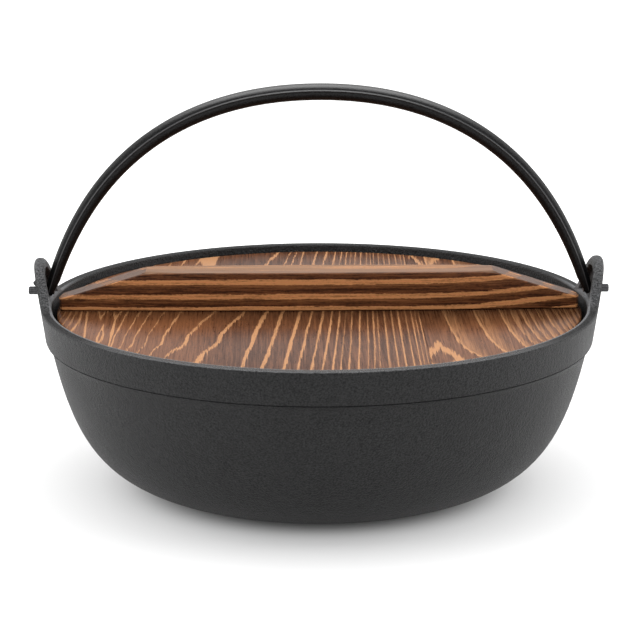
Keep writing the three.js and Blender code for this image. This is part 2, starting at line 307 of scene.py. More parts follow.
class Signal:
    """A value on its way between nodes. Sums and products of signals lay the nodes that work them out."""

    def __init__(self, board: "NodeBoard", socket: bpy.types.NodeSocket) -> None:
        """Wraps an output socket of a board."""
        self.board = board
        self.socket = socket

    def __add__(self, other: "Signal | float") -> "Signal":
        """This plus another."""
        return self.board.math("ADD", self, other)

    def __sub__(self, other: "Signal | float") -> "Signal":
        """This less another."""
        return self.board.math("SUBTRACT", self, other)

    def __mul__(self, other: "Signal | float") -> "Signal":
        """This times another."""
        return self.board.math("MULTIPLY", self, other)

    def apply(self, operation: str, *others: "Signal | float") -> "Signal":
        """Any other operation of the math node, such as ABSOLUTE or MAXIMUM."""
        return self.board.math(operation, self, *others)

    def clamped(self) -> "Signal":
        """This, held between 0 and 1."""
        return self.apply("MAXIMUM", 0.0).apply("MINIMUM", 1.0)

    def rise(
        self,
        low: "Signal | float",
        high: "Signal | float",
        before: "Signal | float" = 0.0,
        after: "Signal | float" = 1.0,
    ) -> "Signal":
        """Smooth rise from one value at low to another at high.

        Args:
            low: where the rise starts.
            high: where it ends.
            before: value before the rise.
            after: value after it.

        Returns:
            The new signal.
        """
        node = self.board.add("ShaderNodeMapRange", interpolation_type="SMOOTHSTEP")
        names = ("Value", "From Min", "From Max", "To Min", "To Max")
        for name, value in zip(names, (self, low, high, before, after)):
            self.board.feed(node.inputs[name], value)
        return Signal(self.board, node.outputs["Result"])

    def fall(self, low: "Signal | float", high: "Signal | float") -> "Signal":
        """Smooth fall from 1 at low to 0 at high."""
        return self.rise(low, high, 1.0, 0.0)


@dataclass(frozen=True)
class Weave:
    """Grain of a noise."""

    steps: Triple  # grains in a millimetre along each of three axes
    detail: float = 2.0  # octaves of finer noise on top
    roughness: float = 0.5  # weight of those octaves


class NodeBoard:
    """The nodes of one material, or of the world."""

    def __init__(
        self, owner: "bpy.types.Material | bpy.types.World", shader: str = "Principled BSDF"
    ) -> None:
        """Starts the nodes.

        Args:
            owner: what they belong to.
            shader: name of the shader that the owner comes with.
        """
        owner.use_nodes = True
        self.tree = owner.node_tree
        self.shader = self.tree.nodes[shader]

    def add(self, kind: str, **settings: Any) -> bpy.types.Node:
        """Adds a node and sets its properties."""
        node = self.tree.nodes.new(kind)
        for name, value in settings.items():
            setattr(node, name, value)
        return node

    def feed(self, socket: bpy.types.NodeSocket, value: Any) -> None:
        """Gives an input a signal or a constant.

        Args:
            socket: the input.
            value: a Signal, a number or a colour of three values.
        """
        if isinstance(value, Signal):
            self.tree.links.new(value.socket, socket)
        elif socket.type == "RGBA":
            socket.default_value = (*value, 1.0)
        else:
            socket.default_value = value

    def set(self, **inputs: Any) -> None:
        """Feeds inputs of the shader by name, with _ for a space."""
        for name, value in inputs.items():
            self.feed(self.shader.inputs[name.replace("_", " ")], value)

    def math(self, operation: str, *values: "Signal | float") -> Signal:
        """One math node with its inputs in order."""
        node = self.add("ShaderNodeMath", operation=operation)
        for socket, value in zip(node.inputs, values):
            self.feed(socket, value)
        return Signal(self, node.outputs[0])

    def coordinate(self, kind: str) -> dict[str, Signal]:
        """One of the texture coordinates, such as Object or Normal, by axis."""
        split = self.add("ShaderNodeSeparateXYZ")
        self.tree.links.new(self.add("ShaderNodeTexCoord").outputs[kind], split.inputs[0])
        return {axis: Signal(self, split.outputs[axis]) for axis in "XYZ"}

    def millimetres(self) -> dict[str, Signal]:
        """The place on the object in millimetres, by axis."""
        return {axis: value * (1 / MM) for axis, value in self.coordinate("Object").items()}

    def from_axis(self, place: dict[str, Signal]) -> Signal:
        """Distance of a place from the upright axis through the origin."""
        return (place["X"] * place["X"] + place["Y"] * place["Y"]).apply("SQRT")

    def rays(self, *kinds: str) -> Signal:
        """1 for light rays of some kinds, such as Camera, and 0 for the others."""
        path = self.add("ShaderNodeLightPath")
        found = [Signal(self, path.outputs[f"Is {kind} Ray"]) for kind in kinds]
        return reduce(lambda total, each: total.apply("MAXIMUM", each), found)

    def attribute(self, name: str) -> Signal:
        """A value that the mesh carries, or 0 where it has none."""
        return Signal(self, self.add("ShaderNodeAttribute", attribute_name=name).outputs["Fac"])

    def noise(self, place: Iterable[Signal], weave: Weave) -> Signal:
        """Soft noise about 0, from about -0.5 to 0.5.

        Args:
            place: the place along three axes, in millimetres.
            weave: grain of the noise along them.

        Returns:
            The noise.
        """
        vector = self.add("ShaderNodeCombineXYZ")
        for socket, value, step in zip(vector.inputs, place, weave.steps):
            self.feed(socket, value * step)
        node = self.add("ShaderNodeTexNoise", noise_dimensions="3D")
        self.tree.links.new(vector.outputs[0], node.inputs["Vector"])
        self.feed(node.inputs["Scale"], 1.0)
        self.feed(node.inputs["Detail"], weave.detail)
        self.feed(node.inputs["Roughness"], weave.roughness)
        return Signal(self, node.outputs[0]) - 0.5

    def grains(self, place: dict[str, Signal], size: float, detail: float = 2.0) -> Signal:
        """Even noise whose grain is a size in millimetres."""
        step = 1 / size
        return self.noise(place.values(), Weave((step, step, step), detail))

    def curve(self, value: Signal, points: tuple[Pair, ...]) -> Signal:
        """Smooth curve through a few points.

        Args:
            value: what the curve reads.
            points: pairs of value and result, in rising order.

        Returns:
            The result.
        """
        first, last = points[0][0], points[-1][0]
        results = [result for _, result in points]
        lowest, highest = min(results), max(max(results), min(results) + MERGE)
        node = self.add("ShaderNodeFloatCurve")
        line = node.mapping.curves[0]
        for number, (x, y) in enumerate(points):
            spot = ((x - first) / (last - first), (y - lowest) / (highest - lowest))
            if number in (0, len(points) - 1):
                line.points[0 if number == 0 else -1].location = spot
            else:
                line.points.new(*spot)
        for point in line.points:
            point.handle_type = "AUTO_CLAMPED"
        node.mapping.update()
        self.feed(node.inputs["Value"], (value - first) * (1 / (last - first)))
        return Signal(self, node.outputs[0]) * (highest - lowest) + lowest

    def blend(self, share: Signal, low: "Signal | Colour", high: "Signal | Colour") -> Signal:
        """Colour between two others.

        Args:
            share: 0 for the first colour, 1 for the second.
            low: the first colour.
            high: the second colour.

        Returns:
            The mixed colour.
        """
        node = self.add("ShaderNodeMix", data_type="RGBA")
        self.feed(node.inputs["Factor"], share)
        colours = [socket for socket in node.inputs if socket.type == "RGBA"]
        self.feed(colours[0], low)
        self.feed(colours[1], high)
        return Signal(self, next(socket for socket in node.outputs if socket.type == "RGBA"))

    def relief(self, height: Signal, strength: float) -> None:
        """Raises the surface, for the light only.

        Args:
            height: how far, in millimetres.
            strength: share of it that shows, from 0 to 1.
        """
        node = self.add("ShaderNodeBump")
        self.feed(node.inputs["Strength"], strength)
        self.feed(node.inputs["Distance"], MM)
        self.feed(node.inputs["Height"], height)
        self.tree.links.new(node.outputs[0], self.shader.inputs["Normal"])


@dataclass(frozen=True)
class CastIron:
    """Sand-cast iron, seasoned matt black. Grains, heights and places are in millimetres."""

    name: str
    dark: Colour = (0.0050, 0.0050, 0.0053)
    light: Colour = (0.0150, 0.0150, 0.0155)
    bare_and_lit: Colour = (0.125, 0.127, 0.132)  # where it is ground, and the colour of its painted highlights
    roughness: float = 0.52
    gloss: float = 0.30  # specular level
    sand: float = 0.85  # grain of the mould's sand
    peel: float = 3.2  # grain of the broader unevenness
    cloud: float = 28.0  # grain of the stains
    detail: float = 3.0  # octaves in the sand and in the stains
    relief: float = 0.75  # height of the sand
    peel_relief: float = 0.5  # height of the broader unevenness, as a share of that
    shades: Pair = (0.9, 0.8)  # weight of the sand and of the stains in the colour
    shade_reach: float = 0.32  # their sum where the colour is lightest
    rough_shares: Pair = (0.22, 0.18)  # their weight in the roughness
    sand_gloss: float = 2.0
    ground_above: float = 1000.0  # height over which level faces are ground
    ground_soft: float = 0.5  # height over which that begins
    dull_facing: Pair = (0.93, 0.975)  # how level the ground faces are that have gone dull
    dull_gloss: float = -0.45
    polish_facing: Pair = (0.45, 0.65)  # how level the ground faces are that are buffed and painted with a highlight
    buffed_and_lit_front: Pair = (-120.0, -70.0)  # they are buffed and painted with a highlight in front of this
    # how light the painted highlight on the buffed faces is
    buffed_highlight: float = 0.22
    polish_rough: float = -0.28
    polish_gloss: float = 0.75
    crest_facing: Pair = (0.2, 0.45)  # how level the crests of the ears are
    crest_above: Pair = (2.0, 5.0)  # how far they stand over the ground faces
    crest_light: Pair = (1.9, 0.34)  # how much lighter the crests are, as ground iron and with painted light from above: on the sand's grains, and on all the rest
    rim_highlight_inside: Pair = (135.6, 136.4)  # radius within which a highlight is painted on the rim's edge
    rim_highlight_before: Pair = (20.0, 60.0)  # it is so in front of this
    # how light that painted highlight is
    rim_highlight: float = 0.95
    held: float = 0.0  # how much glossier the top is where hands hold it
    held_facing: Pair = (0.40, 0.80)  # how level the faces there are
    held_above: Pair = (172.0, 203.0)  # heights between which that begins
    held_dimming: float = -0.85  # how much of the seam's painted highlight is taken back there

    def bareness_and_highlights(self, board: NodeBoard, place: dict[str, Signal], level: Signal, sand: Signal) -> Signal:
        """How far the iron is ground, and where highlights are painted on it, apart from the buffed faces.

        Args:
            board: nodes of the material.
            place: the place in millimetres.
            level: how far a face looks up.
            sand: grain of the sand.

        Returns:
            0 where the iron is black, and 1 where it is ground or painted with a highlight.
        """
        grip = place["Z"].rise(*self.held_above)
        ground = place["Z"].rise(self.ground_above, self.ground_above + self.ground_soft)
        # painted highlight along the bail's seam, fainter near the top of the crown
        worn = board.attribute(SEAM_HIGHLIGHT) * (grip * self.held_dimming + 1.0)
        # painted highlight on the rim's edge, at the front
        arris = board.from_axis(place).fall(*self.rim_highlight_inside) * ground * place["Y"].fall(*self.rim_highlight_before)
        over = place["Z"] - self.ground_above
        # the ears' crests, ground and painted lighter where they face up
        crest = level.rise(*self.crest_facing) * over.rise(*self.crest_above)
        grains, rest = self.crest_light
        return worn + arris * self.rim_highlight + crest * (sand * grains + rest)

    def material(self) -> bpy.types.Material:
        """The finish as a material."""
        material = bpy.data.materials.new(self.name)
        board = NodeBoard(material)
        place = board.millimetres()
        level = board.coordinate("Normal")["Z"]
        sand = board.grains(place, self.sand, self.detail)
        peel = board.grains(place, self.peel)
        cloud = board.grains(place, self.cloud, self.detail)
        ground = place["Z"].rise(self.ground_above, self.ground_above + self.ground_soft)
        dull = level.rise(*self.dull_facing) * ground
        # buffed faces, lower in roughness, with a painted highlight in their colour
        buffed_and_lit = level.rise(*self.polish_facing) * ground * place["Y"].fall(*self.buffed_and_lit_front)
        held = level.rise(*self.held_facing) * place["Z"].rise(*self.held_above) * self.held
        # ground iron and painted highlights, in the light colour
        bared_and_lit = self.bareness_and_highlights(board, place, level, sand) + buffed_and_lit * self.buffed_highlight
        shade = sand * self.shades[0] + cloud * self.shades[1]
        black = board.blend(shade.rise(-self.shade_reach, self.shade_reach), self.dark, self.light)
        uneven = sand * self.rough_shares[0] + cloud * self.rough_shares[1]
        shine = dull * self.dull_gloss + buffed_and_lit * self.polish_gloss + sand * self.sand_gloss + held
        board.set(
            Base_Color=board.blend(bared_and_lit, black, self.bare_and_lit),
            Roughness=uneven + buffed_and_lit * self.polish_rough + self.roughness,
            Specular_IOR_Level=(shine + 1.0) * self.gloss,
        )
        board.relief(sand * self.relief + peel * (self.relief * self.peel_relief), 1.0)
        return material


@dataclass(frozen=True)
class Steel:
    """Plain steel, drawn along X, as bright or as black as its colour says."""

    name: str
    dark: Colour
    light: Colour
    roughness: float
    metallic: float
    drawn: Weave = Weave((0.08, 2.4, 2.4), 3.0)  # marks of drawing
    spots: float = 1.6  # grain of the spots, in millimetres
    shade_reach: float = 0.4  # sum of the marks and the spots where the steel is lightest
    drawn_rough: float = 0.3
    heights: Pair = (0.05, 0.04)  # of the marks and the spots, in millimetres
    relief: float = 0.5

    def material(self) -> bpy.types.Material:
        """The finish as a material."""
        material = bpy.data.materials.new(self.name)
        board = NodeBoard(material)
        place = board.millimetres()
        drawn = board.noise(place.values(), self.drawn)
        spots = board.grains(place, self.spots)
        shade = (drawn + spots).rise(-self.shade_reach, self.shade_reach)
        board.set(
            Base_Color=board.blend(shade, self.dark, self.light),
            Roughness=drawn * self.drawn_rough + self.roughness,
            Metallic=self.metallic,
        )
        board.relief(drawn * self.heights[0] + spots * self.heights[1], self.relief)
        return material


@dataclass(frozen=True)
class Patch:
    """Place where a ring lies level with the wood's face, as a light patch with ragged ends."""

    across: float
    along: float
    half_width: float
    half_length: float
    wall: float = 9.0  # share of the patch from its edge inwards that is light
    edge: Pair = (-0.04, 0.08)  # shares between which the patch begins
    wall_soft: float = 0.06

    def cover(self, across: Signal, along: Signal) -> Signal:
        """How far a place lies inside the patch.

        Args:
            across: place across the fibres.
            along: place along the fibres, torn up by them.

        Returns:
            1 in the light part of the patch and 0 outside it.
        """
        off_across = (across - self.across).apply("ABSOLUTE") * (1 / self.half_width)
        off_along = (along - self.along).apply("ABSOLUTE") * (1 / self.half_length)
        inside = (off_across + off_along) * -1.0 + 1.0
        return inside.rise(*self.edge) * inside.fall(self.wall - self.wall_soft, self.wall + self.wall_soft)


@dataclass(frozen=True)
class Line:
    """A late-wood line: its place across the board, its half width and how light it is."""

    place: float
    half: float
    light: float = 1.0


@dataclass(frozen=True)
class Fibres:
    """The fibres of a wood at a place on it, in millimetres across, along and into the board."""

    across: Signal
    along: Signal
    depth: Signal
    torn: Signal  # place along the board, broken up by the ends of the fibres
    fibre: Signal
    hair: Signal  # finer fibres between the others
    specks: Signal

    def mix(self, shares: Pair) -> Signal:
        """The fibres and the hairs, each with its share."""
        return self.fibre * shares[0] + self.hair * shares[1]


@dataclass(frozen=True)
class ScorchedWood:
    """Softwood that was scorched and brushed: brown ground with lighter late-wood lines.

    Distances are in millimetres, across, along and into the board. Pairs of shares are those of the
    fibres and of the hairs between them.
    """

    name: str
    grain: Grain
    lines: tuple[Line, ...]
    tones: tuple[Pair, ...]  # place across the board, and how much lighter the ground is there
    ground: Colour = (0.165, 0.060, 0.0215)
    scorch: Colour = (0.050, 0.0165, 0.0064)
    late: Colour = (0.40, 0.190, 0.080)
    # colour of the painted shade beside the bar and along its foot
    painted_shade: Colour = (0.010, 0.005, 0.003)
    contrast: float = 1.0  # of the streaks along the fibres
    roughness: float = 0.30
    gloss: float = 0.26
    fibre_width: float = 0.75
    fibre_run: float = 0.022  # grains in a millimetre along the fibres
    fibre_reach: float = 16.0  # how far the fibres' ends break up a line that crosses them
    hair_finer: float = 2.2
    hair_run: float = 0.09
    hair_reach: float = 0.8  # share of the fibres' reach
    speck_weave: Weave = Weave((1.5, 0.5, 1.5), roughness=0.7)
    pores: float = 0.9  # contrast of the specks
    sway_weave: Weave = Weave((0.055, 0.022, 0.055))
    wander: float = 16.0  # how far the lines stray along the board
    strength_weave: Weave = Weave((3.7, 0.012, 0.01), 1.0)  # a line's strength, by its number and along it
    line_strength: float = 0.7
    line_fibres: Pair = (0.9, 0.8)
    line_soft: float = 0.22
    widening: Triple = (0.9, 0.7, 0.5)  # how much its strength, the hairs and the specks widen a line
    fade: float = 5.0  # reach of the lighter wood beside a line
    fade_share: float = 0.0
    fade_side: float = 1.0  # 1 where it lies on the line's right, or above it, and -1 on the other side
    fade_light: float = 0.5
    fade_fibres: Pair = (1.6, 1.2)
    mottle_weave: Weave = Weave((0.03, 0.012, 0.05), 3.0)
    mottle: float = 0.6
    streak_fibres: Pair = (1.3, 1.1)
    streak_reach: float = 0.5  # value at which a streak is lightest
    gloss_fibres: Pair = (1.2, 1.0)
    hair_rough: float = 0.14
    line_rough: float = 0.08
    line_height: float = 0.08
    fibre_heights: Pair = (0.10, 0.07)
    relief: float = 0.4
    patches: tuple[Patch, ...] = ()

    def follow(self, board: NodeBoard, wood: Fibres) -> Signal:
        """Follows the ring at a place to the row across the board that the lines are given in.

        Args:
            board: nodes of the material.
            wood: the fibres at the place.

        Returns:
            The ring's place in that row. Each board has its own way.
        """
        raise NotImplementedError

    def wear_and_shade(self, board: NodeBoard, wood: Fibres, colour: Signal, shine: Signal) -> tuple[Signal, Signal]:
        """Wears the wood and paints shade on it. Each board has its own way.

        Args:
            board: nodes of the material.
            wood: the fibres at the place.
            colour: colour of the new wood.
            shine: what is added to its gloss.

        Returns:
            The colour and the shine after years of use, with the painted shade.
        """
        raise NotImplementedError

    def fibres(self, board: NodeBoard) -> Fibres:
        """Lays the fibres out.

        Args:
            board: nodes of the material.

        Returns:
            The fibres.
        """
        axes = board.millimetres()
        place = tuple(axes[axis] for axis in self.grain.value)
        across, along, depth = place
        fine = 1 / self.fibre_width
        finer = fine * self.hair_finer
        fibre = board.noise(place, Weave((fine, self.fibre_run, fine)))
        hair = board.noise(place, Weave((finer, self.hair_run, finer)))
        specks = board.noise(place, self.speck_weave) * self.pores
        sway = board.noise(place, self.sway_weave)
        torn = along + fibre * self.fibre_reach + hair * (self.fibre_reach * self.hair_reach)
        return Fibres(across, along, depth, torn + sway * self.wander, fibre, hair, specks)

    def late_wood(self, board: NodeBoard, wood: Fibres) -> Signal:
        """Draws the late-wood lines, the lighter wood beside them and the patches.

        Args:
            board: nodes of the material.
            wood: the fibres at the place.

        Returns:
            0 on the ground and 1 on the late wood.
        """
        spot = self.follow(board, wood)
        order = tuple((line.place, number) for number, line in enumerate(self.lines))
        nearest = (board.curve(spot, order) + 0.5).apply("FLOOR")
        columns = zip(*(astuple(line) for line in self.lines))
        place, half, light = (board.curve(nearest, tuple(enumerate(column))) for column in columns)
        past = spot - place
        strength = board.noise((nearest, wood.along, wood.depth), self.strength_weave)
        by_strength, by_hair, by_specks = self.widening
        half = half * (strength * by_strength + wood.hair * by_hair + wood.specks * by_specks + 1.0)
        drawn = past.apply("ABSOLUTE").fall(half - self.line_soft, half + self.line_soft)
        streaks = wood.mix(self.line_fibres) * self.contrast
        drawn = (strength * self.line_strength + streaks + wood.specks + light) * drawn
        lee = past * self.fade_side
        beside = lee.fall(half, half + self.fade) * lee.rise(half * -1.0, half) * self.fade_share
        drawn = drawn.apply("MAXIMUM", (wood.mix(self.fade_fibres) + self.fade_light) * beside)
        ragged = wood.torn + wood.fibre * self.fibre_reach
        for patch in self.patches:
            drawn = drawn.apply("MAXIMUM", patch.cover(wood.across, ragged))
        return drawn

    def early_wood(self, board: NodeBoard, wood: Fibres) -> Signal:
        """Colours the streaked ground.

        Args:
            board: nodes of the material.
            wood: the fibres at the place.

        Returns:
            Its colour.
        """
        mottle = board.noise((wood.across, wood.along, wood.depth), self.mottle_weave) * self.mottle
        tone = board.curve(wood.across, self.tones)
        streak = wood.mix(self.streak_fibres) * self.contrast + wood.specks + mottle + tone
        return board.blend(streak.rise(-self.streak_reach, self.streak_reach), self.scorch, self.ground)

    def material(self) -> bpy.types.Material:
        """The finish as a material."""
        material = bpy.data.materials.new(self.name)
        board = NodeBoard(material)
        wood = self.fibres(board)
        line = self.late_wood(board, wood)
        fresh = board.blend(line.clamped(), self.early_wood(board, wood), self.late)
        colour, shine = self.wear_and_shade(board, wood, fresh, wood.mix(self.gloss_fibres))
        board.set(
            Base_Color=colour,
            Roughness=wood.hair * self.hair_rough + line * self.line_rough + self.roughness,
            Specular_IOR_Level=(shine + 1.0) * self.gloss,
        )
        board.relief(line * self.line_height + wood.mix(self.fibre_heights), self.relief)
        return material


@dataclass(frozen=True)
class BoardWood(ScorchedWood):
    """A board of the lid, with its late-wood lines running from front to back."""

    row: float = -10.0  # where the row of the lines lies along Y, beside the bar
    slants: tuple[Pair, ...] = ((0.0, 0.0), (1.0, 0.0))  # place of a line, its run along X per Y
    usual_slant: float = 0.1
    slant_rounds: int = 2  # times that a line is followed back with the slant found before
    curl: float = 0.0  # bend of the lines to the right at the front, by the cube of the distance
    jog: float = 0.0  # how far the lines on the left hold back along Y
    jog_span: Pair = (-94.0, -56.0)
    jog_side: Pair = (-36.0, -28.0)
    bar_shade: float = 0.0  # painted shade: how much darker the wood is beside the bar
    bar_shade_reach: Pair = (6.0, 46.0)
    bar_shade_gloss: float = -1.2

    def follow(self, board: NodeBoard, wood: Fibres) -> Signal:
        """Follows the ring at a place back to the row beside the bar.

        Args:
            board: nodes of the material.
            wood: the fibres at the place.

        Returns:
            The ring's place along X in that row.
        """
        middle = sum(self.jog_span) / 2
        held = wood.torn.rise(self.jog_span[0], middle) * wood.torn.fall(middle, self.jog_span[1])
        held = held * wood.across.fall(*self.jog_side) * self.jog
        run = wood.torn + held - self.row
        ahead = run.apply("MINIMUM", 0.0)
        straight = wood.across + ahead * ahead * ahead * self.curl
        start = straight - run * self.usual_slant
        for _ in range(self.slant_rounds):
            start = straight - run * board.curve(start, self.slants)
        return start

    def wear_and_shade(self, board: NodeBoard, wood: Fibres, colour: Signal, shine: Signal) -> tuple[Signal, Signal]:
        """Paints the bar's shade on the wood beside it, with less sheen there."""
        # painted shade of the bar
        bar_shade = wood.along.apply("ABSOLUTE").rise(*self.bar_shade_reach, self.bar_shade, 0.0)
        return board.blend(bar_shade, colour, self.painted_shade), shine + bar_shade * self.bar_shade_gloss


@dataclass(frozen=True)
class BarWood(ScorchedWood):
    """The bar, cut with its rings lying flat, so that its sides are striped."""

    bottom: float = 89.56
    front: float = -9.6
    tilt: float = -0.16  # fall of the rings to the rear
    bend_from: float = 45.0
    bend: float = 0.00095  # rise of the rings towards the right end, by the square of the distance
    shaded_foot: float = 0.9  # height of the lower edge that is painted black as shade
    sloped: Colour = (0.085, 0.037, 0.016)  # gently sloped faces
    sloped_facing: Pair = (0.88, 0.93)
    sloped_share: float = 0.85
    worn: Colour = (0.235, 0.120, 0.058)  # level faces, which are rubbed by hands
    worn_facing: Pair = (0.97, 0.995)
    worn_share: float = 0.62
    worn_gloss: float = -0.8
    rub_weave: Weave = Weave((0.40, 0.006, 0.40), 3.0, 0.7)
    rub_contrast: float = 4.8

    def follow(self, board: NodeBoard, wood: Fibres) -> Signal:
        """Follows the ring at a place to the bar's front.

        Args:
            board: nodes of the material.
            wood: the fibres at the place.

        Returns:
            The ring's height there, over the bar's foot.
        """
        past = (wood.torn - self.bend_from).apply("MAXIMUM", 0.0)
        fallen = (wood.depth - self.front) * self.tilt
        return wood.across - self.bottom - fallen - past * past * self.bend

    def wear_and_shade(self, board: NodeBoard, wood: Fibres, colour: Signal, shine: Signal) -> tuple[Signal, Signal]:
        """Rubs the upper faces, more on some fibres than on others, and paints shade along the lower edge.

        Args:
            board: nodes of the material.
            wood: the fibres at the place.
            colour: colour of the new wood.
            shine: what is added to its gloss.

        Returns:
            The colour and the shine.
        """
        level = board.coordinate("Normal")["Z"]
        broad = board.noise((wood.depth, wood.along, wood.depth), self.rub_weave) * self.rub_contrast
        sloped = level.rise(*self.sloped_facing)
        colour = board.blend((sloped * (broad + self.sloped_share)).clamped(), colour, self.sloped)
        worn = level.rise(*self.worn_facing) * (broad + self.worn_share)
        colour = board.blend(worn.clamped(), colour, self.worn)
        # painted shade in the crease where the bar stands on the lid
        foot = wood.across.fall(self.bottom, self.bottom + self.shaded_foot)
        return board.blend(foot, colour, self.painted_shade), shine + sloped * (self.worn_share * self.worn_gloss)


@dataclass(frozen=True)
class TurnedWood:
    """Plain pale wood of the dowels, with its grain along X."""

    name: str
    dark: Colour = (0.38, 0.23, 0.11)
    light: Colour = (0.60, 0.42, 0.23)
    roughness: float = 0.7
    fibres: Weave = Weave((0.05, 1.6, 1.6), 4.0)
    shade_reach: float = 0.3  # value at which a fibre is lightest
    fibre_height: float = 0.15
    relief: float = 0.6

    def material(self) -> bpy.types.Material:
        """The finish as a material."""
        material = bpy.data.materials.new(self.name)
        board = NodeBoard(material)
        fibre = board.noise(board.millimetres().values(), self.fibres)
        shade = fibre.rise(-self.shade_reach, self.shade_reach)
        board.set(Base_Color=board.blend(shade, self.dark, self.light), Roughness=self.roughness)
        board.relief(fibre * self.fibre_height, self.relief)
        return material


# Sub-assemblies


def dress(
    piece: bpy.types.Object, material: bpy.types.Material, body: Body, slot: str, *nodes: str
) -> bpy.types.Object:
    """Gives a piece its material and its body, and hides the nodes that it stands for.

    Args:
        piece: the modelled piece.
        material: its finish.
        body: the body that it moves with.
        slot: the record's material slot; not used.
        nodes: the nodes that it replaces.

    Returns:
        The piece.
    """
    piece.data.materials.clear()
    piece.data.materials.append(material)
    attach(piece, body.value)
    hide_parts(*nodes)
    faces = len(piece.data.polygons)
    log.info("%s: %d faces, rides %s, for %s", piece.name, faces, body.value, ", ".join(nodes))
    return piece


@dataclass(frozen=True)
class ProfilePoint:
    """Corner of the casting's turned profile, with what an ear does to it."""

    radius: float
    height: float
    lift: float = 0.0  # share of the ear's rise that it takes
    depth: float = 0.0  # below the crest, inside its rounding
    inner: float = 0.0  # 0 on the outside of the wall, 1 on the inside


@dataclass
class PotCasting:
    """The pot: a shallow bowl with a flared band and two ears, in one casting."""

    height: float = 92.8 * MM
    rim_radius: float = 140 * MM
    rim_thickness: float = 5.4 * MM
    rim_round: float = 1.0 * MM
    band_height: float = 16.5 * MM
    band_flare: float = 8.1  # degrees
    step_depth: float = 2.8 * MM
    step_drop: float = 3.6 * MM
    step_ease: float = 0.4 * MM
    step_curve: tuple[Pair, ...] = ((0.72, 0.62), (0.30, 0.24))  # shares of its depth and drop
    groove_height: float = 0.55 * MM  # the mould's joint, a fine groove under the band
    groove_depth: float = 0.35 * MM
    groove_curve: tuple[Pair, ...] = (  # shares of its depth inwards and of its height upwards
        (1.0, -1.0),
        (2.0, -0.9),
        (2.0, -0.1),
        (0.2, 0.1),
    )
    bowl_lean: float = 12.2  # degrees, of the bowl's side at the step
    bowl_side: float = 48.7 * MM  # how far that side runs straight on, as a curve's handle
    bowl_spread: float = 42 * MM  # the same at the base
    base_lift: float = 7.3  # degrees, of the bowl's side at the base
    base_radius: float = 70 * MM
    foot_width: float = 12 * MM
    foot_recess: float = 1 * MM
    foot_draft: float = 2 * MM
    wall: float = 4.8 * MM
    base_thickness: float = 5.8 * MM
    corner_run: float = 2.0  # how far the floor's corner runs in for each length that it drops
    ledge_height: float = 79.3 * MM
    ledge_width: float = 4.5 * MM
    ear_height: float = 22.2 * MM
    ear_half_width: float = 29 * MM
    ear_skirt: float = 10 * MM
    ear_shoulder: float = 20 * MM
    ear_top_thickness: float = 5.2 * MM
    ear_round: float = 1.2  # how much rounder the edges are at the top of an ear
    ear_root: float = 5 * MM
    hollow_depth: float = 2.75 * MM
    hollow_border: float = 4.5 * MM
    hollow_floor: float = 0.5 * MM
    hollow_edge: float = 1.6 * MM
    pin_hole: float = 2.4 * MM
    pivot_height: float = 98.7 * MM
    nub_rise: float = 9.5 * MM  # the stub left by the casting's gate, on the left ear, above the rim
    nub_height: float = 2.6 * MM
    nub_size: float = 2.0 * MM
    ground_depth: float = 1.2 * MM  # below the rim's top, where its ground faces start
    smooth: float = 40.0  # corners sharper than this, in degrees, stay sharp
    ear_arc: float = 26.0  # degrees that the fine columns of an ear cover
    ear_columns: int = 72
    side_columns: int = 124
    curve_steps: int = 26
    wall_loops: int = 22
    round_steps: int = 4
    halvings: int = 40  # in the search for a point of an ear's outline

    def band_outer(self, height: float) -> float:
        """Radius of the band's outside at a height."""
        return self.rim_radius + (height - self.height) * math.tan(math.radians(self.band_flare))

    def bell(self, y: float, border: float = 0.0) -> Pair:
        """Outline of an ear above the rim.

        Args:
            y: distance from the middle of the ear, along Y.
            border: how far the outline is drawn in.

        Returns:
            The height above the rim and its slope along Y.
        """
        half = self.ear_half_width - border
        top = self.ear_height - border
        outline = (
            Vector((half, 0.0)),
            Vector((half - self.ear_skirt, 0.0)),
            Vector((self.ear_shoulder - border, top)),
            Vector((0.0, top)),
        )
        if abs(y) >= half:
            return 0.0, 0.0
        low, high = 0.0, 1.0
        for _ in range(self.halvings):
            middle = (low + high) / 2
            if bezier(outline, middle).x > abs(y):
                low = middle
            else:
                high = middle
        slope = bezier_slope(outline, low)
        run = slope.y / min(slope.x, -MERGE)
        return bezier(outline, low).y, math.copysign(run, run * y)

    def bowl_curve(self) -> Curve:
        """Outside of the bowl from the step to the base, in radius and height."""
        step = self.height - self.band_height
        lean = math.radians(self.bowl_lean)
        lift = math.radians(self.base_lift)
        shoulder = Vector((self.band_outer(step) - self.step_depth, step - self.step_drop))
        base = Vector((self.base_radius, 0.0))
        side = shoulder - Vector((math.sin(lean), math.cos(lean))) * self.bowl_side
        spread = base + Vector((math.cos(lift), math.sin(lift))) * self.bowl_spread
        return shoulder, side, spread, base

    def wall_face(self, inner: float) -> list[ProfilePoint]:
        """One face of the rim's wall, from the root of the ears up, with its rounded edge.

        Args:
            inner: 0 for the outside, 1 for the inside.

        Returns:
            Its points, from below.
        """
        top = self.height - self.rim_round
        root = top - self.ear_root
        points = []
        for loop in range(self.wall_loops):
            share = loop / self.wall_loops
            height = root + (top - root) * share
            radius = self.band_outer(height) - inner * self.rim_thickness
            points.append(ProfilePoint(radius, height, share, self.rim_round, inner))
        face = self.band_outer(top) - inner * self.rim_thickness
        out = 1 - 2 * inner
        for step in range(self.round_steps + 1):
            angle = math.pi / 2 * step / self.round_steps
            drop = self.rim_round * (1 - math.sin(angle))
            radius = face - out * self.rim_round * (1 - math.cos(angle))
            points.append(ProfilePoint(radius, self.height - drop, 1.0, drop, inner))
        return points

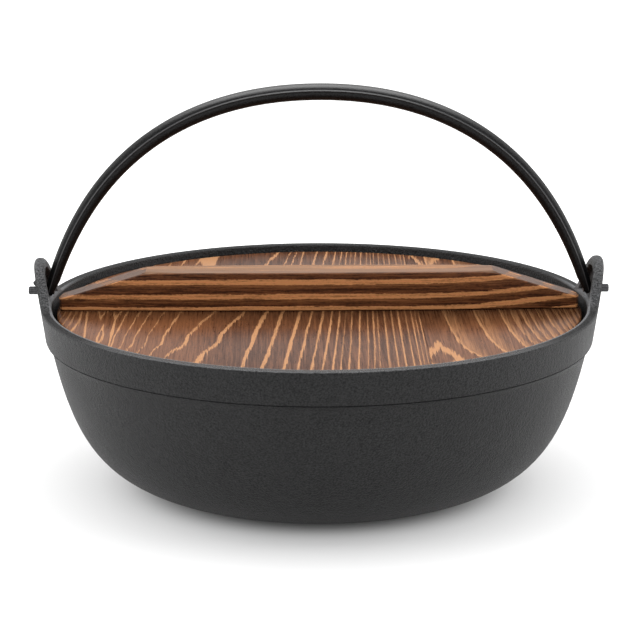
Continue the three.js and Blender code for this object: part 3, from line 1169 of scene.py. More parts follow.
    def step_edge(self) -> list[ProfilePoint]:
        """Corner where the band stands over the bowl, with the groove of the mould's joint, from below."""
        step = self.height - self.band_height
        outer = self.band_outer(step)
        points = []
        for depth, drop in self.step_curve:
            points.append(ProfilePoint(outer - self.step_depth * depth, step - self.step_drop * drop))
        for depth, rise in self.groove_curve:
            points.append(ProfilePoint(outer - self.groove_depth * depth, step + self.groove_height * rise))
        eased = step + self.step_ease
        points.append(ProfilePoint(self.band_outer(eased), eased))
        return points

    def profile(self) -> list[ProfilePoint]:
        """The turned profile, from the middle of the underside round to the middle of the floor."""
        curve = self.bowl_curve()
        shares = [step / self.curve_steps for step in range(self.curve_steps + 1)]
        outside = [bezier(curve, 1 - share) for share in shares]
        wall_radius = self.band_outer(self.ledge_height) - self.rim_thickness
        ledge_radius = wall_radius - self.ledge_width
        inside = []
        for share in shares:
            along = bezier_slope(curve, share)
            point = bezier(curve, share) + Vector((along.y, -along.x)) * self.wall
            if self.base_thickness < point.y < self.ledge_height and point.x < ledge_radius:
                inside.append(point)
        corner = inside[-1].x - self.corner_run * (inside[-1].y - self.base_thickness)
        ring = self.base_radius - self.foot_width
        return [
            ProfilePoint(0.0, self.foot_recess),
            ProfilePoint(ring - self.foot_draft, self.foot_recess),
            ProfilePoint(ring, 0.0),
            *(ProfilePoint(point.x, point.y) for point in outside),
            *self.step_edge(),
            *self.wall_face(0.0),
            *reversed(self.wall_face(1.0)),
            ProfilePoint(wall_radius, self.ledge_height),
            ProfilePoint(ledge_radius, self.ledge_height),
            *(ProfilePoint(point.x, point.y) for point in inside),
            ProfilePoint(corner, self.base_thickness),
            ProfilePoint(0.0, self.base_thickness),
        ]

    def build(self) -> bpy.types.Object:
        """The casting as one mesh."""
        bm = bmesh.new()
        lift = bm.verts.layers.float.new("lift")
        depth = bm.verts.layers.float.new("depth")
        inner = bm.verts.layers.float.new("inner")
        row: list[BMVert] = []
        for point in self.profile():
            vertex = bm.verts.new((point.radius, 0.0, point.height))
            vertex[lift] = point.lift
            vertex[depth] = point.depth
            vertex[inner] = point.inner
            row.append(vertex)
        edges = [bm.edges.new(pair) for pair in zip(row, row[1:])]
        start = Matrix.Rotation(-math.radians(self.ear_arc) / 2, 4, "Z")
        bmesh.ops.transform(bm, matrix=start, verts=row)
        last = [*row, *edges]
        arcs = ((self.ear_arc, self.ear_columns), (180 - self.ear_arc, self.side_columns))
        for arc, columns in arcs * len(Side):
            last = bmesh.ops.spin(
                bm, geom=last, cent=(0, 0, 0), axis=(0, 0, 1), angle=math.radians(arc), steps=columns
            )["geom_last"]
        bmesh.ops.remove_doubles(bm, verts=bm.verts, dist=MERGE)
        for vertex in bm.verts:
            if vertex[lift] > 0 and abs(vertex.co.y) < self.ear_half_width + self.rim_round:
                vertex.co = self.on_ear(vertex.co, vertex[lift], vertex[depth], vertex[inner])
        pot = mesh_object(bm, "pot_casting", self.smooth)
        reach = Vector((2 * self.rim_radius, 0.0, 0.0))
        pivot = Vector((0.0, 0.0, self.pivot_height))
        cut(pot, [rod(self.pin_hole, pivot - reach, pivot + reach)], self.smooth)
        return pot

    def on_ear(self, place: Vector, lift: float, depth: float, inner: float) -> Vector:
        """Where a point of the plain rim lies on the ear.

        Args:
            place: the point on the plain rim.
            lift: share of the ear's rise that it takes.
            depth: its depth below the crest.
            inner: 0 on the outside of the wall, 1 on the inside.

        Returns:
            The new place.
        """
        rise, slope = self.bell(place.y)
        face = self.band_outer(self.height - self.rim_round) - inner * self.rim_thickness
        rounder = self.ear_round * rise / self.ear_height if lift == 1.0 else 0.0
        across = Vector((-slope, 1.0)).normalized() * (depth * (1 + rounder))
        y = place.y - lift * across.x
        z = place.z + lift * (rise + depth - across.y)
        above = max(0.0, z - self.height)
        thinner = (self.rim_thickness - self.ear_top_thickness) * above / self.ear_height
        plain = place.xy.length
        radius = plain + (z - place.z) * math.tan(math.radians(self.band_flare)) + inner * thinner
        radius += (plain - face) * rounder
        if inner == 1.0:
            border = self.bell(y, self.hollow_border)[0]
            inside = smoothstep(border - above, 0.0, self.hollow_edge)
            inside *= smoothstep(above, self.hollow_floor, self.hollow_floor + self.hollow_edge)
            radius += self.hollow_depth * inside
        if inner == 0.0 and place.x < 0:
            off = Vector((y, above - self.nub_rise)).length / self.nub_size
            radius += self.nub_height * math.exp(-off * off)
        return Vector((math.copysign(math.sqrt(radius * radius - y * y), place.x), y, z))

    def dress(self) -> None:
        """Builds the casting in black iron."""
        iron = CastIron("pot_iron", ground_above=(self.height - self.ground_depth) / MM)
        dress(self.build(), iron.material(), Body.POT, "pot_iron", "pot_body")


@dataclass
class Bail:
    """The arched handle and the two pins that it swings on."""

    pivot: Vector = field(default_factory=lambda: Vector(frame["joints"][0]["pos_m"]))
    rise: float = 100.1 * MM
    top_radius: float = 4.2 * MM
    foot_radius: float = 2.9 * MM
    half_span: float = 135.04 * MM
    end_x: float = 137.24 * MM
    crown: float = 34.3 * MM  # how far the curve runs straight on from the top, as its handle
    leg: float = 96.2 * MM  # the same from a foot
    lean: float = 17.0  # degrees, of the feet
    taper: int = 4  # power of the taper, which lies mostly near the feet
    length_steps: int = 64
    seam_height: float = 0.40 * MM
    seam_half_width: float = 5.0  # degrees
    seam_turn: float = 12.0  # degrees that the front seam lies above the middle
    seam_highlight: float = 0.75  # how light the painted highlight along the seam is
    foot_cut_height: float = 5 * MM  # above the pivot, where the inside of a foot starts to be cut back
    foot_cut_lean: float = 30.0  # degrees
    stations: int = 140
    sides: int = 96
    cap_steps: int = 6
    cap_flat: float = 0.35  # share of a step that the round end of a foot is left flat
    smooth: float = 30.0  # corners sharper than this, in degrees, stay sharp
    pin_smooth: float = 50.0
    pin_round: float = 0.8 * MM  # at a pin's outer end
    pin_round_steps: int = 4
    pin_flat: float = 0.6  # share of a step that the end is left flat
    pin_turns: Pair = (9.0, 22.0)  # degrees that the left and the right pin are turned
    grooves: int = 12  # in a pin
    groove_length: float = 8.5 * MM
    groove_start: float = 0.6 * MM  # length over which they deepen
    groove_depth: float = 0.34 * MM
    groove_half_width: float = 6.0  # degrees

    def half_curve(self) -> Curve:
        """Middle line of the right half, from the crown to the foot."""
        lean = math.radians(self.lean)
        foot = self.pivot + Vector((self.half_span, 0.0, 0.0))
        top = self.pivot + Vector((0.0, 0.0, self.rise))
        return (
            top,
            top + Vector((self.crown, 0.0, 0.0)),
            foot + Vector((-math.sin(lean), 0.0, math.cos(lean))) * self.leg,
            foot,
        )

    def station(self, t: float) -> Matrix:
        """Place of the section.

        Args:
            t: -1 at the left foot, 0 at the crown, 1 at the right foot.

        Returns:
            The matrix that takes the unit circle to the rod's section there.
        """
        curve = self.half_curve()
        mirror = Matrix.Scale(-1, 3, Vector((1, 0, 0))) if t < 0 else Matrix.Identity(3)
        centre = mirror @ bezier(curve, abs(t))
        along = mirror @ bezier_slope(curve, abs(t)) * (1 if t >= 0 else -1)
        share = self.share_of_length(abs(t)) ** self.taper
        radius = self.top_radius + (self.foot_radius - self.top_radius) * share
        return self.frame_at(centre, along, radius)

    def share_of_length(self, t: float) -> float:
        """How far along the half arch a place lies.

        Args:
            t: 0 at the crown, 1 at the foot.

        Returns:
            Share of the length that lies between the crown and t.
        """
        curve = self.half_curve()
        steps = range(self.length_steps + 1)
        lengths = []
        for end in (t, 1.0):
            spots = [bezier(curve, end * step / self.length_steps) for step in steps]
            lengths.append(sum((b - a).length for a, b in zip(spots, spots[1:])))
        return lengths[0] / lengths[1]

    def frame_at(self, centre: Vector, along: Vector, radius: float) -> Matrix:
        """Place of a round section.

        Args:
            centre: its middle.
            along: direction of the rod.
            radius: of the rod.

        Returns:
            The matrix that takes the unit circle to the section.
        """
        across = Vector((0.0, 1.0, 0.0))
        outward = across.cross(along)
        columns = Matrix((outward * radius, across * radius, along)).transposed()
        return Matrix.Translation(centre) @ columns.to_4x4()

    def end_cap(self, side: Side) -> list[Matrix]:
        """The round end below a foot.

        Args:
            side: which foot.

        Returns:
            Places of its sections, from the rod outwards.
        """
        curve = self.half_curve()
        sign = side.value
        foot = Vector((sign * curve[3].x, curve[3].y, curve[3].z))
        leg = bezier_slope(curve, 1.0)
        along = Vector((leg.x, leg.y, sign * leg.z))
        places = []
        for step in range(1, self.cap_steps + 1):
            angle = math.pi / 2 * step / (self.cap_steps + self.cap_flat)
            centre = foot + along * (sign * self.foot_radius * math.sin(angle))
            places.append(self.frame_at(centre, along, self.foot_radius * math.cos(angle)))
        return places

    def section(self, angle: float) -> float:
        """Round section with the mould's seam standing proud at the front and the rear.

        Args:
            angle: round the rod, in radians; the seams lie at a quarter turn to either side.

        Returns:
            Factor on the radius.
        """
        return 1.0 + self.seam_height / self.top_radius * self.on_seam(math.degrees(angle))

    def on_seam(self, angle: float) -> float:
        """1 on a seam and 0 away from it, at an angle round the rod in degrees."""
        off = ((angle + self.seam_turn) % 180 - 90) / self.seam_half_width
        return math.exp(-off * off)

    def arch(self) -> bpy.types.Object:
        """The handle, with flat faces at its feet that look at the ears."""
        bm = bmesh.new()
        row = [self.station(2 * step / self.stations - 1) for step in range(self.stations + 1)]
        places = [*reversed(self.end_cap(Side.LEFT)), *row, *self.end_cap(Side.RIGHT)]
        # The seam carries a painted highlight, as if its ridge caught the light.
        worn = bm.verts.layers.float.new(SEAM_HIGHLIGHT)
        rings = sweep(bm, self.sides, places, self.section)
        for ring, place in zip(rings, places):
            back = place.inverted()
            for vertex in ring:
                spot = back @ vertex.co
                around = math.degrees(math.atan2(spot.y, spot.x))
                vertex[worn] = self.seam_highlight * self.on_seam(around) ** 2
        for side in Side:
            outward = Vector((float(side.value), 0.0, 0.0))
            trim(bm, outward * self.end_x, outward)
            self.cut_back(bm, side)
        return mesh_object(bm, "bail_arch", self.smooth)

    def cut_back(self, bm: BMesh, side: Side) -> None:
        """Cuts the inside of a foot back, so that it clears the lid's edge.

        Args:
            bm: mesh of the handle.
            side: which foot.
        """
        curve = self.half_curve()
        leg = bezier_slope(curve, 1.0)
        inward = Vector((leg.z, 0.0, -leg.x))
        edge = curve[3] + leg * (self.foot_cut_height / leg.z) + inward * self.foot_radius
        lean = math.radians(self.foot_cut_lean)
        normal = Vector((-math.cos(lean) * side.value, 0.0, -math.sin(lean)))
        place = Vector((edge.x * side.value, edge.y, edge.z))
        trim(bm, place, normal, lambda vertex: (vertex.co - place).length < 2 * self.foot_cut_height)

    def pin(self, side: Side, turn: float) -> bpy.types.Object:
        """A grooved pin, driven into a foot of the bail.

        Args:
            side: which end of the pivot axis.
            turn: angle of its grooves in degrees.

        Returns:
            The pin.
        """
        name = side.name.lower()
        low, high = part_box(f"pivot_pin_{name}")
        radius = (high.z - low.z) / 2
        seat, tip = (low.x, high.x) if side is Side.RIGHT else (high.x, low.x)
        sign = side.value
        grooves_from = tip - sign * self.groove_length
        bm = bmesh.new()
        spots = [(seat, radius), (grooves_from - sign * self.groove_start, radius), (grooves_from, radius)]
        for step in range(self.pin_round_steps + 1):
            angle = math.pi / 2 * step / (self.pin_round_steps + self.pin_flat)
            x = tip - sign * self.pin_round * (1 - math.sin(angle))
            spots.append((x, radius - self.pin_round * (1 - math.cos(angle))))
        lay = Matrix.Rotation(math.pi / 2, 4, "Y")
        places = []
        for x, size in spots:
            scale = Matrix.Diagonal((size, size, 1.0, 1.0))
            places.append(Matrix.Translation((x, 0.0, self.pivot.z)) @ lay @ scale)
        rings = sweep(bm, self.sides, places, lambda angle: 1.0)
        half = 180 / self.grooves
        for ring in rings[2:]:
            for vertex in ring:
                away = Vector((0.0, vertex.co.y, vertex.co.z - self.pivot.z))
                around = math.degrees(math.atan2(away.z, away.y)) - turn
                off = ((around + half) % (2 * half) - half) / self.groove_half_width
                vertex.co -= away.normalized() * self.groove_depth * math.exp(-off * off)
        return mesh_object(bm, f"pin_{name}", self.pin_smooth)

    def dress(self) -> None:
        """Builds the handle and the pins."""
        iron = CastIron(
            "bail_iron",
            dark=(0.0025, 0.0025, 0.0027),
            light=(0.008, 0.008, 0.0084),
            roughness=0.34,
            gloss=0.19,
            sand=0.6,
            peel=2.2,
            relief=0.16,
            held=3.2,
        )
        black = Steel("pin_steel", (0.035, 0.035, 0.037), (0.10, 0.10, 0.105), 0.42, 0.6)
        dress(self.arch(), iron.material(), Body.BAIL, "bail_iron", "bail_handle")
        steel = black.material()
        for side, turn in zip(Side, self.pin_turns):
            node = f"pivot_pin_{side.name.lower()}"
            dress(self.pin(side, turn), steel, Body.BAIL, "pin_steel", node)


@dataclass
class Lid:
    """Two boards with a bar across them, held by screws and dowels."""

    thickness: float = 10 * MM
    arris: float = 0.8 * MM
    joint_arris: float = 0.12 * MM
    bar_width: float = 19.2 * MM
    bar_end_width: float = 13 * MM
    bar_end_height: float = 5.8 * MM
    bar_top_half: float = 87 * MM
    bar_end_round: float = 1.7 * MM  # bulge of the ends, in plan
    bar_arris: float = 0.7 * MM
    bar_smooth: float = 12.0  # corners sharper than this, in degrees, stay sharp
    bar_corner: float = 40.0  # and those sharper than this are rounded
    arris_steps: int = 3
    screws: int = 4
    screw_radius: float = 2 * MM
    screw_core: float = 1.5 * MM
    screw_head: float = 4 * MM
    screw_head_height: float = 2.4 * MM
    screw_pitch: float = 1.6 * MM
    screw_slot: float = 1 * MM
    screw_slot_reach: float = 2.2 * MM
    screw_slot_depth: float = 1.4 * MM
    screw_edge: float = 0.3 * MM  # broken edge of the head
    screw_plain: float = 4 * MM  # shank between the head and the thread
    screw_point: float = 1 * MM
    screw_taper: float = 0.8  # how much thinner the thread gets towards its point
    screw_taper_turns: int = 4
    thread_root: Pair = (0.35, 0.60)  # shares of a turn between which the core shows
    screw_smooth: float = 30.0
    screw_sides: int = 40
    dowel_chamfer: float = 0.6 * MM
    dowel_smooth: float = 40.0
    flutes: int = 12  # in a dowel
    flute_depth: float = 0.24 * MM
    hole_sides: int = 32
    fit_gap: float = 0.3 * MM
    edge_columns: int = 256
    bar_columns: int = 32
    bar_rows: int = 8

    def screw_boxes(self) -> list[tuple[Vector, Vector]]:
        """Corners of the screws."""
        return [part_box(f"lid_screw_{number}") for number in range(1, self.screws + 1)]

    def screw_well(self, low: Vector, high: Vector, floor: float) -> BMesh:
        """Room for a screw, open at the lid's underside.

        Args:
            low: lowest corner of the screw.
            high: highest corner of the screw.
            floor: height of the lid's underside.

        Returns:
            The shape to take out.
        """
        axis = (low + high) / 2
        head = self.screw_head + self.fit_gap
        shank = self.screw_radius + self.fit_gap
        outline = [
            (0.0, floor - self.fit_gap),
            (head, floor - self.fit_gap),
            (head, low.z),
            (shank, low.z + self.screw_head_height),
            (shank, high.z),
            (0.0, high.z + self.fit_gap),
        ]
        return turned(outline, axis.x, axis.y, self.hole_sides)

    def dowel_boxes(self) -> list[tuple[Vector, Vector]]:
        """Corners of the two dowels."""
        return [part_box(f"edge_dowel_{place}") for place in ("front", "rear")]

    def joint_edges(self, bm: BMesh, joint: Vector) -> list[BMEdge]:
        """Corners of a board that lie on its joint."""
        return [
            edge
            for edge in sharp_edges(bm, CORNER)
            if all(abs(vertex.co.x - joint.x) < MERGE for vertex in edge.verts)
        ]

    def board(self, name: str, node: str, keep: float) -> bpy.types.Object:
        """One board of the lid.

        Args:
            name: name of the piece.
            node: the node that it stands for.
            keep: -1 for the board on the left of the joint, 1 for the one on the right.

        Returns:
            The board, with its holes.
        """
        low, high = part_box(node)
        radius = max(abs(low.x), abs(high.x))
        bm = bmesh.new()
        middle = Matrix.Translation((0.0, 0.0, (low.z + high.z) / 2))
        bmesh.ops.create_cone(
            bm,
            cap_ends=True,
            segments=self.edge_columns,
            radius1=radius,
            radius2=radius,
            depth=self.thickness,
            matrix=middle,
        )
        joint = Vector((high.x if keep < 0 else low.x, 0.0, 0.0))
        trim(bm, joint, Vector((-keep, 0.0, 0.0)))
        seam = self.joint_edges(bm, joint)
        rest = [edge for edge in sharp_edges(bm, CORNER) if edge not in seam]
        break_edges(bm, rest, self.arris, self.arris_steps)
        break_edges(bm, self.joint_edges(bm, joint), self.joint_arris, 1)
        made = mesh_object(bm, name)
        shapes = [
            self.screw_well(a, b, low.z)
            for a, b in self.screw_boxes()
            if (a.x + b.x) / 2 * keep > joint.x * keep
        ]
        for a, b in self.dowel_boxes():
            half = Vector(((b.x - a.x) / 2 + self.fit_gap, 0.0, 0.0))
            centre = (a + b) / 2
            radius = (b.z - a.z) / 2 + self.fit_gap
            shapes.append(rod(radius, centre - half, centre + half, self.hole_sides))
        cut(made, shapes)
        return made

    def bar(self) -> bpy.types.Object:
        """The bar that the lid is lifted by: bowed in plan, with sloped ends."""
        low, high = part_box("lid_bar")
        half = high.x
        corner = half - self.bar_end_round
        bm = bmesh.new()
        size = Matrix.Diagonal((2 * corner, 1.0, high.z - low.z, 1.0))
        place = Matrix.Translation((0.0, 0.0, (low.z + high.z) / 2))
        bmesh.ops.create_cube(bm, size=1.0, matrix=place @ size)
        for number in range(1, self.bar_columns):
            self.score(bm, Vector((1.0, 0.0, 0.0)), corner * (2 * number / self.bar_columns - 1))
        for number in range(1, self.bar_rows):
            self.score(bm, Vector((0.0, 1.0, 0.0)), number / self.bar_rows - 0.5)
        for side in Side:
            self.score(bm, Vector((1.0, 0.0, 0.0)), side.value * self.bar_top_half)
        for vertex in bm.verts:
            out = vertex.co.x / corner
            across = 2 * vertex.co.y
            width = self.bar_width + (self.bar_end_width - self.bar_width) * out * out
            vertex.co.y = across * width / 2
            if abs(out) > 1 - MERGE:
                vertex.co.x += math.copysign(self.bar_end_round * (1 - across * across), out)
            if vertex.co.z > place.translation.z:
                past = max(0.0, abs(vertex.co.x) - self.bar_top_half) / (half - self.bar_top_half)
                vertex.co.z = high.z - past * (high.z - low.z - self.bar_end_height)
        break_edges(bm, sharp_edges(bm, self.bar_corner), self.bar_arris, self.arris_steps)
        made = mesh_object(bm, "grip_bar", self.bar_smooth)
        wells = [self.screw_well(a, b, low.z - self.thickness) for a, b in self.screw_boxes()]
        cut(made, wells, self.bar_smooth)
        return made

    def score(self, bm: BMesh, axis: Vector, at: float) -> None:
        """Adds a loop of edges square to an axis, at a place along it."""
        geometry = [*bm.verts, *bm.edges, *bm.faces]
        bmesh.ops.bisect_plane(bm, geom=geometry, plane_co=axis * at, plane_no=axis, dist=MERGE)

    def screw(self, number: int) -> bpy.types.Object:
        """A countersunk screw with its point up.

        Args:
            number: 1 to 4, from the left.

        Returns:
            The screw.
        """
        low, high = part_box(f"lid_screw_{number}")
        axis = (low + high) / 2
        neck = low.z + self.screw_head_height
        tip = high.z
        outline = [
            (0.0, low.z),
            (self.screw_head - self.screw_edge, low.z),
            (self.screw_head, low.z + self.screw_edge),
            (self.screw_radius, neck),
            (self.screw_radius, neck + self.screw_plain),
        ]
        turns = int((tip - neck - self.screw_plain - self.screw_point) / self.screw_pitch)
        for turn in range(turns):
            base = neck + self.screw_plain + turn * self.screw_pitch
            taper = 1.0 - self.screw_taper * smoothstep(turn, turns - self.screw_taper_turns, turns)
            for share in self.thread_root:
                outline.append((self.screw_core * taper, base + share * self.screw_pitch))
            outline.append((self.screw_radius * taper, base + self.screw_pitch))
        outline.append((0.0, tip))
        shape = turned(outline, axis.x, axis.y, self.screw_sides)
        made = mesh_object(shape, f"screw_{number}", self.screw_smooth)
        slots = []
        place = Matrix.Translation((axis.x, axis.y, low.z))
        long = 2 * self.screw_slot_reach
        for x, y in ((long, self.screw_slot), (self.screw_slot, long)):
            bm = bmesh.new()
            size = Matrix.Diagonal((x, y, 2 * self.screw_slot_depth, 1.0))
            bmesh.ops.create_cube(bm, size=1.0, matrix=place @ size)
            slots.append(bm)
        cut(made, slots, self.screw_smooth)
        return made

    def dowel(self, place: str) -> bpy.types.Object:
        """A fluted dowel across the joint.

        Args:
            place: front or rear.

        Returns:
            The dowel.
        """
        low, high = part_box(f"edge_dowel_{place}")
        centre = (low + high) / 2
        radius = (high.z - low.z) / 2
        half = Vector(((high.x - low.x) / 2, 0.0, 0.0))
        bm = rod(radius, centre - half, centre + half, chamfer=self.dowel_chamfer)
        for vertex in bm.verts:
            away = Vector((0.0, vertex.co.y - centre.y, vertex.co.z - centre.z))
            around = math.atan2(away.z, away.y)
            flute = self.flute_depth / 2 * (1 + math.cos(self.flutes * around))
            vertex.co -= away.normalized() * flute
        return mesh_object(bm, f"dowel_{place}", self.dowel_smooth)

    def wide_wood(self) -> BoardWood:
        """Finish of the wide board, with its main lines where the photograph shows them."""
        return BoardWood(
            "wide_board_wood",
            Grain.FRONT_TO_BACK,
            lines=(
                *(Line(x, 0.30, 0.75) for x in (-134.0, -130.6, -127.4, -124.7, -121.9)),
                *(Line(-119.0, 0.35), Line(-116.1, 0.45), Line(-96.0, 0.45), Line(-90.0, 0.30, 0.8)),
                *(Line(-84.5, 0.40), Line(-77.9, 0.32, 0.8), Line(-69.4, 0.55), Line(-52.9, 0.85)),
                *(Line(-38.4, 0.88), Line(-26.4, 0.76), Line(-18.4, 0.72), Line(-9.9, 0.66)),
                *(Line(-3.9, 0.55), Line(1.9, 0.52), Line(6.3, 0.42), Line(10.1, 0.38)),
                *(Line(13.1, 0.28, 0.6), Line(16.3, 0.36, 0.8), Line(20.1, 0.40), Line(23.9, 0.30, 0.6)),
                Line(26.6, 0.34, 0.9),
                *(Line(28.6, 0.26, 0.6), Line(32.1, 0.36, 0.8), Line(35.6, 0.30, 0.7)),
                *(Line(38.9, 0.34, 0.8), Line(42.6, 0.34, 0.7), Line(45.6, 0.30, 0.8)),
                *(Line(x, 0.26, 0.7) for x in (47.4, 49.4, 52.0)),
            ),
            tones=((-132.0, 0.24), (-90.0, 0.22), (-60.0, 0.10), (-35.0, -0.16), (5.0, -0.16), (52.0, 0.0)),
            slants=(
                *((-134.0, 0.07), (-122.0, 0.06), (-116.0, -0.04), (-104.0, 0.02), (-90.0, 0.10)),
                *((-78.0, 0.12), (-69.0, 0.14), (-53.0, 0.24), (-38.0, 0.22), (-26.0, 0.13), (-18.0, 0.09)),
                *((2.0, 0.07), (10.0, 0.055), (24.0, 0.033), (42.0, 0.012), (52.0, 0.012)),
            ),
            jog=12.0,
            bar_shade=0.62,
            patches=(
                Patch(-108.5, -2.0, 3.4, 24.0, 0.40),
                Patch(-101.0, 0.0, 4.2, 30.0, 0.34),
                Patch(-101.4, -52.0, 0.9, 40.0),
                Patch(-106.6, -60.0, 1.9, 24.0, 0.55),
                Patch(-103.0, 40.0, 4.4, 40.0),
                Patch(-58.0, 118.0, 5.0, 60.0),
            ),
        )

    def narrow_wood(self) -> BoardWood:
        """Finish of the narrow board, with its main lines where the photograph shows them."""
        return BoardWood(
            "narrow_board_wood",
            Grain.FRONT_TO_BACK,
            lines=(
                *(Line(30.0, 0.50), Line(62.0, 0.60), Line(77.4, 0.60), Line(90.2, 0.50)),
                *(Line(95.6, 0.30, 0.7), Line(100.6, 0.38, 0.9), Line(104.6, 0.28, 0.7)),
                *(Line(x, 0.34, 0.8) for x in (108.6, 112.8)),
                *(Line(x, 0.26, 0.7) for x in (117.2, 120.0, 122.7, 125.6, 128.4, 131.5, 135.0)),
            ),
            tones=((48.0, 0.0), (70.0, 0.07), (95.0, 0.15), (132.0, 0.05)),
            slants=((30.0, 0.0), (100.0, -0.02), (135.0, -0.01)),
            usual_slant=0.0,
            curl=1.2e-5,
            fade=9.0,
            fade_share=0.75,
            bar_shade=0.72,
            bar_shade_reach=(6.0, 60.0),
            patches=(Patch(55.0, -108.0, 11.0, 36.0, 0.42), Patch(60.0, 118.0, 9.0, 40.0, 0.34)),
        )

    def bar_wood(self) -> BarWood:
        """Finish of the bar, with its rings counted up from its foot."""
        return BarWood(
            "bar_wood",
            Grain.SIDE_TO_SIDE,
            lines=tuple(Line(z, 1.25, 0.92) for z in (-5.6, 1.1, 7.5, 14.85, 22.0, 29.5)),
            tones=((80.0, 0.0), (120.0, 0.01)),
            ground=(0.185, 0.064, 0.0225),
            scorch=(0.043, 0.0148, 0.0064),
            late=(0.70, 0.31, 0.122),
            contrast=1.35,
            gloss=0.22,
            line_soft=0.2,
            fade=2.6,
            fade_share=0.26,
            fade_side=-1.0,
            pores=1.2,
            wander=18.0,
            fibre_width=1.0,
            fibre_reach=10.0,
        )

    def dress(self) -> None:
        """Builds the boards, the bar and what holds them together."""
        lid = Body.LID
        boards = (("wide", -1, self.wide_wood()), ("narrow", 1, self.narrow_wood()))
        for width, keep, wood in boards:
            node = f"lid_board_{width}"
            dress(self.board(f"board_{width}", node, keep), wood.material(), lid, "lid_wood", node)
        dress(self.bar(), self.bar_wood().material(), lid, "bar_wood", "lid_bar")
        steel = Steel("screw_steel", (0.42, 0.43, 0.45), (0.62, 0.63, 0.65), 0.34, 1.0).material()
        for number in range(1, self.screws + 1):
            dress(self.screw(number), steel, lid, "screw_steel", f"lid_screw_{number}")
        pale = TurnedWood("dowel_wood").material()
        for place in ("front", "rear"):
            dress(self.dowel(place), pale, lid, "dowel_wood", f"edge_dowel_{place}")


def turned(outline: list[Pair], x: float, y: float, columns: int) -> BMesh:
    """Turns an outline about an upright axis.

    Args:
        outline: pairs of radius and height, from the axis back to the axis.
        x: place of the axis.
        y: place of the axis.
        columns: faces round the shape.

    Returns:
        A new mesh.
    """
    bm = bmesh.new()
    row = [bm.verts.new((x + radius, y, height)) for radius, height in outline]
    edges = [bm.edges.new(pair) for pair in zip(row, row[1:])]
    bmesh.ops.spin(
        bm,
        geom=[*row, *edges],
        cent=(x, y, 0),
        axis=(0, 0, 1),
        angle=math.tau,
        steps=columns,
        use_merge=True,
    )
    return bm


# Studio


@dataclass(frozen=True)
class SoftLight:
    """A large soft lamp."""

    name: str
    place: Triple
    aim: Triple
    width: float
    height: float
    power: float

    def light(self) -> None:
        """Sets the lamp up."""
        lamp = bpy.data.lights.new(self.name, "AREA")
        lamp.shape = "RECTANGLE"
        lamp.size = self.width
        lamp.size_y = self.height
        lamp.energy = self.power
        made = bpy.data.objects.new(self.name, lamp)
        made.location = self.place
        made.rotation_euler = (Vector(self.aim) - Vector(self.place)).to_track_quat("-Z", "Y").to_euler()
        bpy.context.scene.collection.objects.link(made)


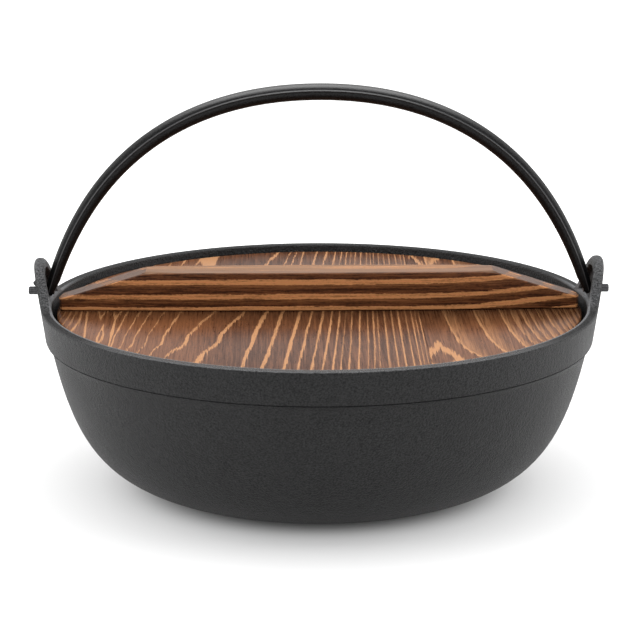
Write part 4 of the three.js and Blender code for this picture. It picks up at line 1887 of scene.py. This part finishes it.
@dataclass(frozen=True)
class Studio:
    """White floor, soft light and the camera of the photograph."""

    floor_size: float = 6.0
    floor_colour: Colour = (0.58, 0.58, 0.58)
    floor_roughness: float = 0.9
    floor_glow: Pair = (0.045, 0.40)  # under the pot and beside it
    floor_glow_reach: Pair = (76.0, 106.0)  # millimetres from the pot's axis
    far_glow: Pair = (0.0, 0.45)  # what is added beside the pot and far from it
    far_glow_reach: Pair = (150.0, 600.0)
    backdrop: Pair = (0.16, 0.85)  # light of the surroundings from the front and from behind
    backdrop_span: Pair = (-0.6, 0.36)  # where they change, in the direction along Y
    distance: float = 1200 * MM  # camera to the pot's axis, level
    eye_height: float = 378.4 * MM
    pitch: float = 13.847  # degrees below the horizon
    azimuth: float = -1.2  # degrees
    focal_pixels: float = 2444.7
    off_middle: float = 0.67  # pixels that the pot stands left of the picture's middle
    sensor: float = 36.0
    lights: tuple[SoftLight, ...] = (
        SoftLight("top_light", (0.0, 0.0, 1.35), (0.0, 0.0, 0.05), 1.7, 1.5, 24.0),
        SoftLight("front_light", (0.0, -1.25, 0.75), (0.0, 0.0, 0.08), 1.6, 0.6, 3.5),
        SoftLight("left_light", (-1.25, 0.1, 0.65), (0.0, 0.0, 0.06), 1.5, 1.3, 9.3),
        SoftLight("right_light", (1.25, 0.1, 0.65), (0.0, 0.0, 0.06), 1.5, 1.3, 9.3),
    )

    def floor(self) -> None:
        """Pale floor that keeps the shadow and runs out to white. Its glow is seen but lights nothing."""
        bm = bmesh.new()
        bmesh.ops.create_grid(bm, x_segments=1, y_segments=1, size=self.floor_size)
        floor = mesh_object(bm, "floor")
        material = bpy.data.materials.new("floor_white")
        board = NodeBoard(material)
        away = board.from_axis(board.millimetres())
        glow = away.rise(*self.floor_glow_reach, *self.floor_glow)
        glow = glow + away.rise(*self.far_glow_reach, *self.far_glow)
        board.set(
            Base_Color=self.floor_colour,
            Roughness=self.floor_roughness,
            Specular_IOR_Level=0.0,
            Emission_Color=WHITE,
            Emission_Strength=board.rays("Camera", "Glossy", "Transmission") * glow,
        )
        floor.data.materials.append(material)

    def surroundings(self) -> None:
        """White backdrop, with less light from the front of the room than from behind."""
        world = bpy.data.worlds.new("studio")
        board = NodeBoard(world, "Background")
        light = board.coordinate("Generated")["Y"].rise(*self.backdrop_span, *self.backdrop)
        board.set(Color=WHITE, Strength=board.rays("Camera").rise(0.0, 1.0, light, 1.0))
        bpy.context.scene.world = world

    def camera(self) -> None:
        """Puts the camera where the photograph was taken from."""
        data = bpy.data.cameras.new("camera")
        data.sensor_width = self.sensor
        data.lens = self.focal_pixels * self.sensor / PICTURE
        data.shift_x = self.off_middle / PICTURE
        made = bpy.data.objects.new("camera", data)
        turn = math.radians(self.azimuth)
        made.location = (math.sin(turn) * self.distance, -math.cos(turn) * self.distance, self.eye_height)
        made.rotation_euler = (math.radians(90.0 - self.pitch), 0.0, turn)
        bpy.context.scene.collection.objects.link(made)
        bpy.context.scene.camera = made

    def set_up(self) -> None:
        """Floor, surroundings, lamps, camera and plain colour."""
        self.floor()
        self.surroundings()
        for lamp in self.lights:
            lamp.light()
        self.camera()
        bpy.context.scene.view_settings.view_transform = "Standard"


def main() -> None:
    """Builds the pot, its bail and its lid, and the studio round them."""
    logging.basicConfig(level=logging.INFO, format="%(name)s: %(message)s")
    PotCasting().dress()
    Bail().dress()
    Lid().dress()
    Studio().set_up()


if __name__ == "__main__":
    main()
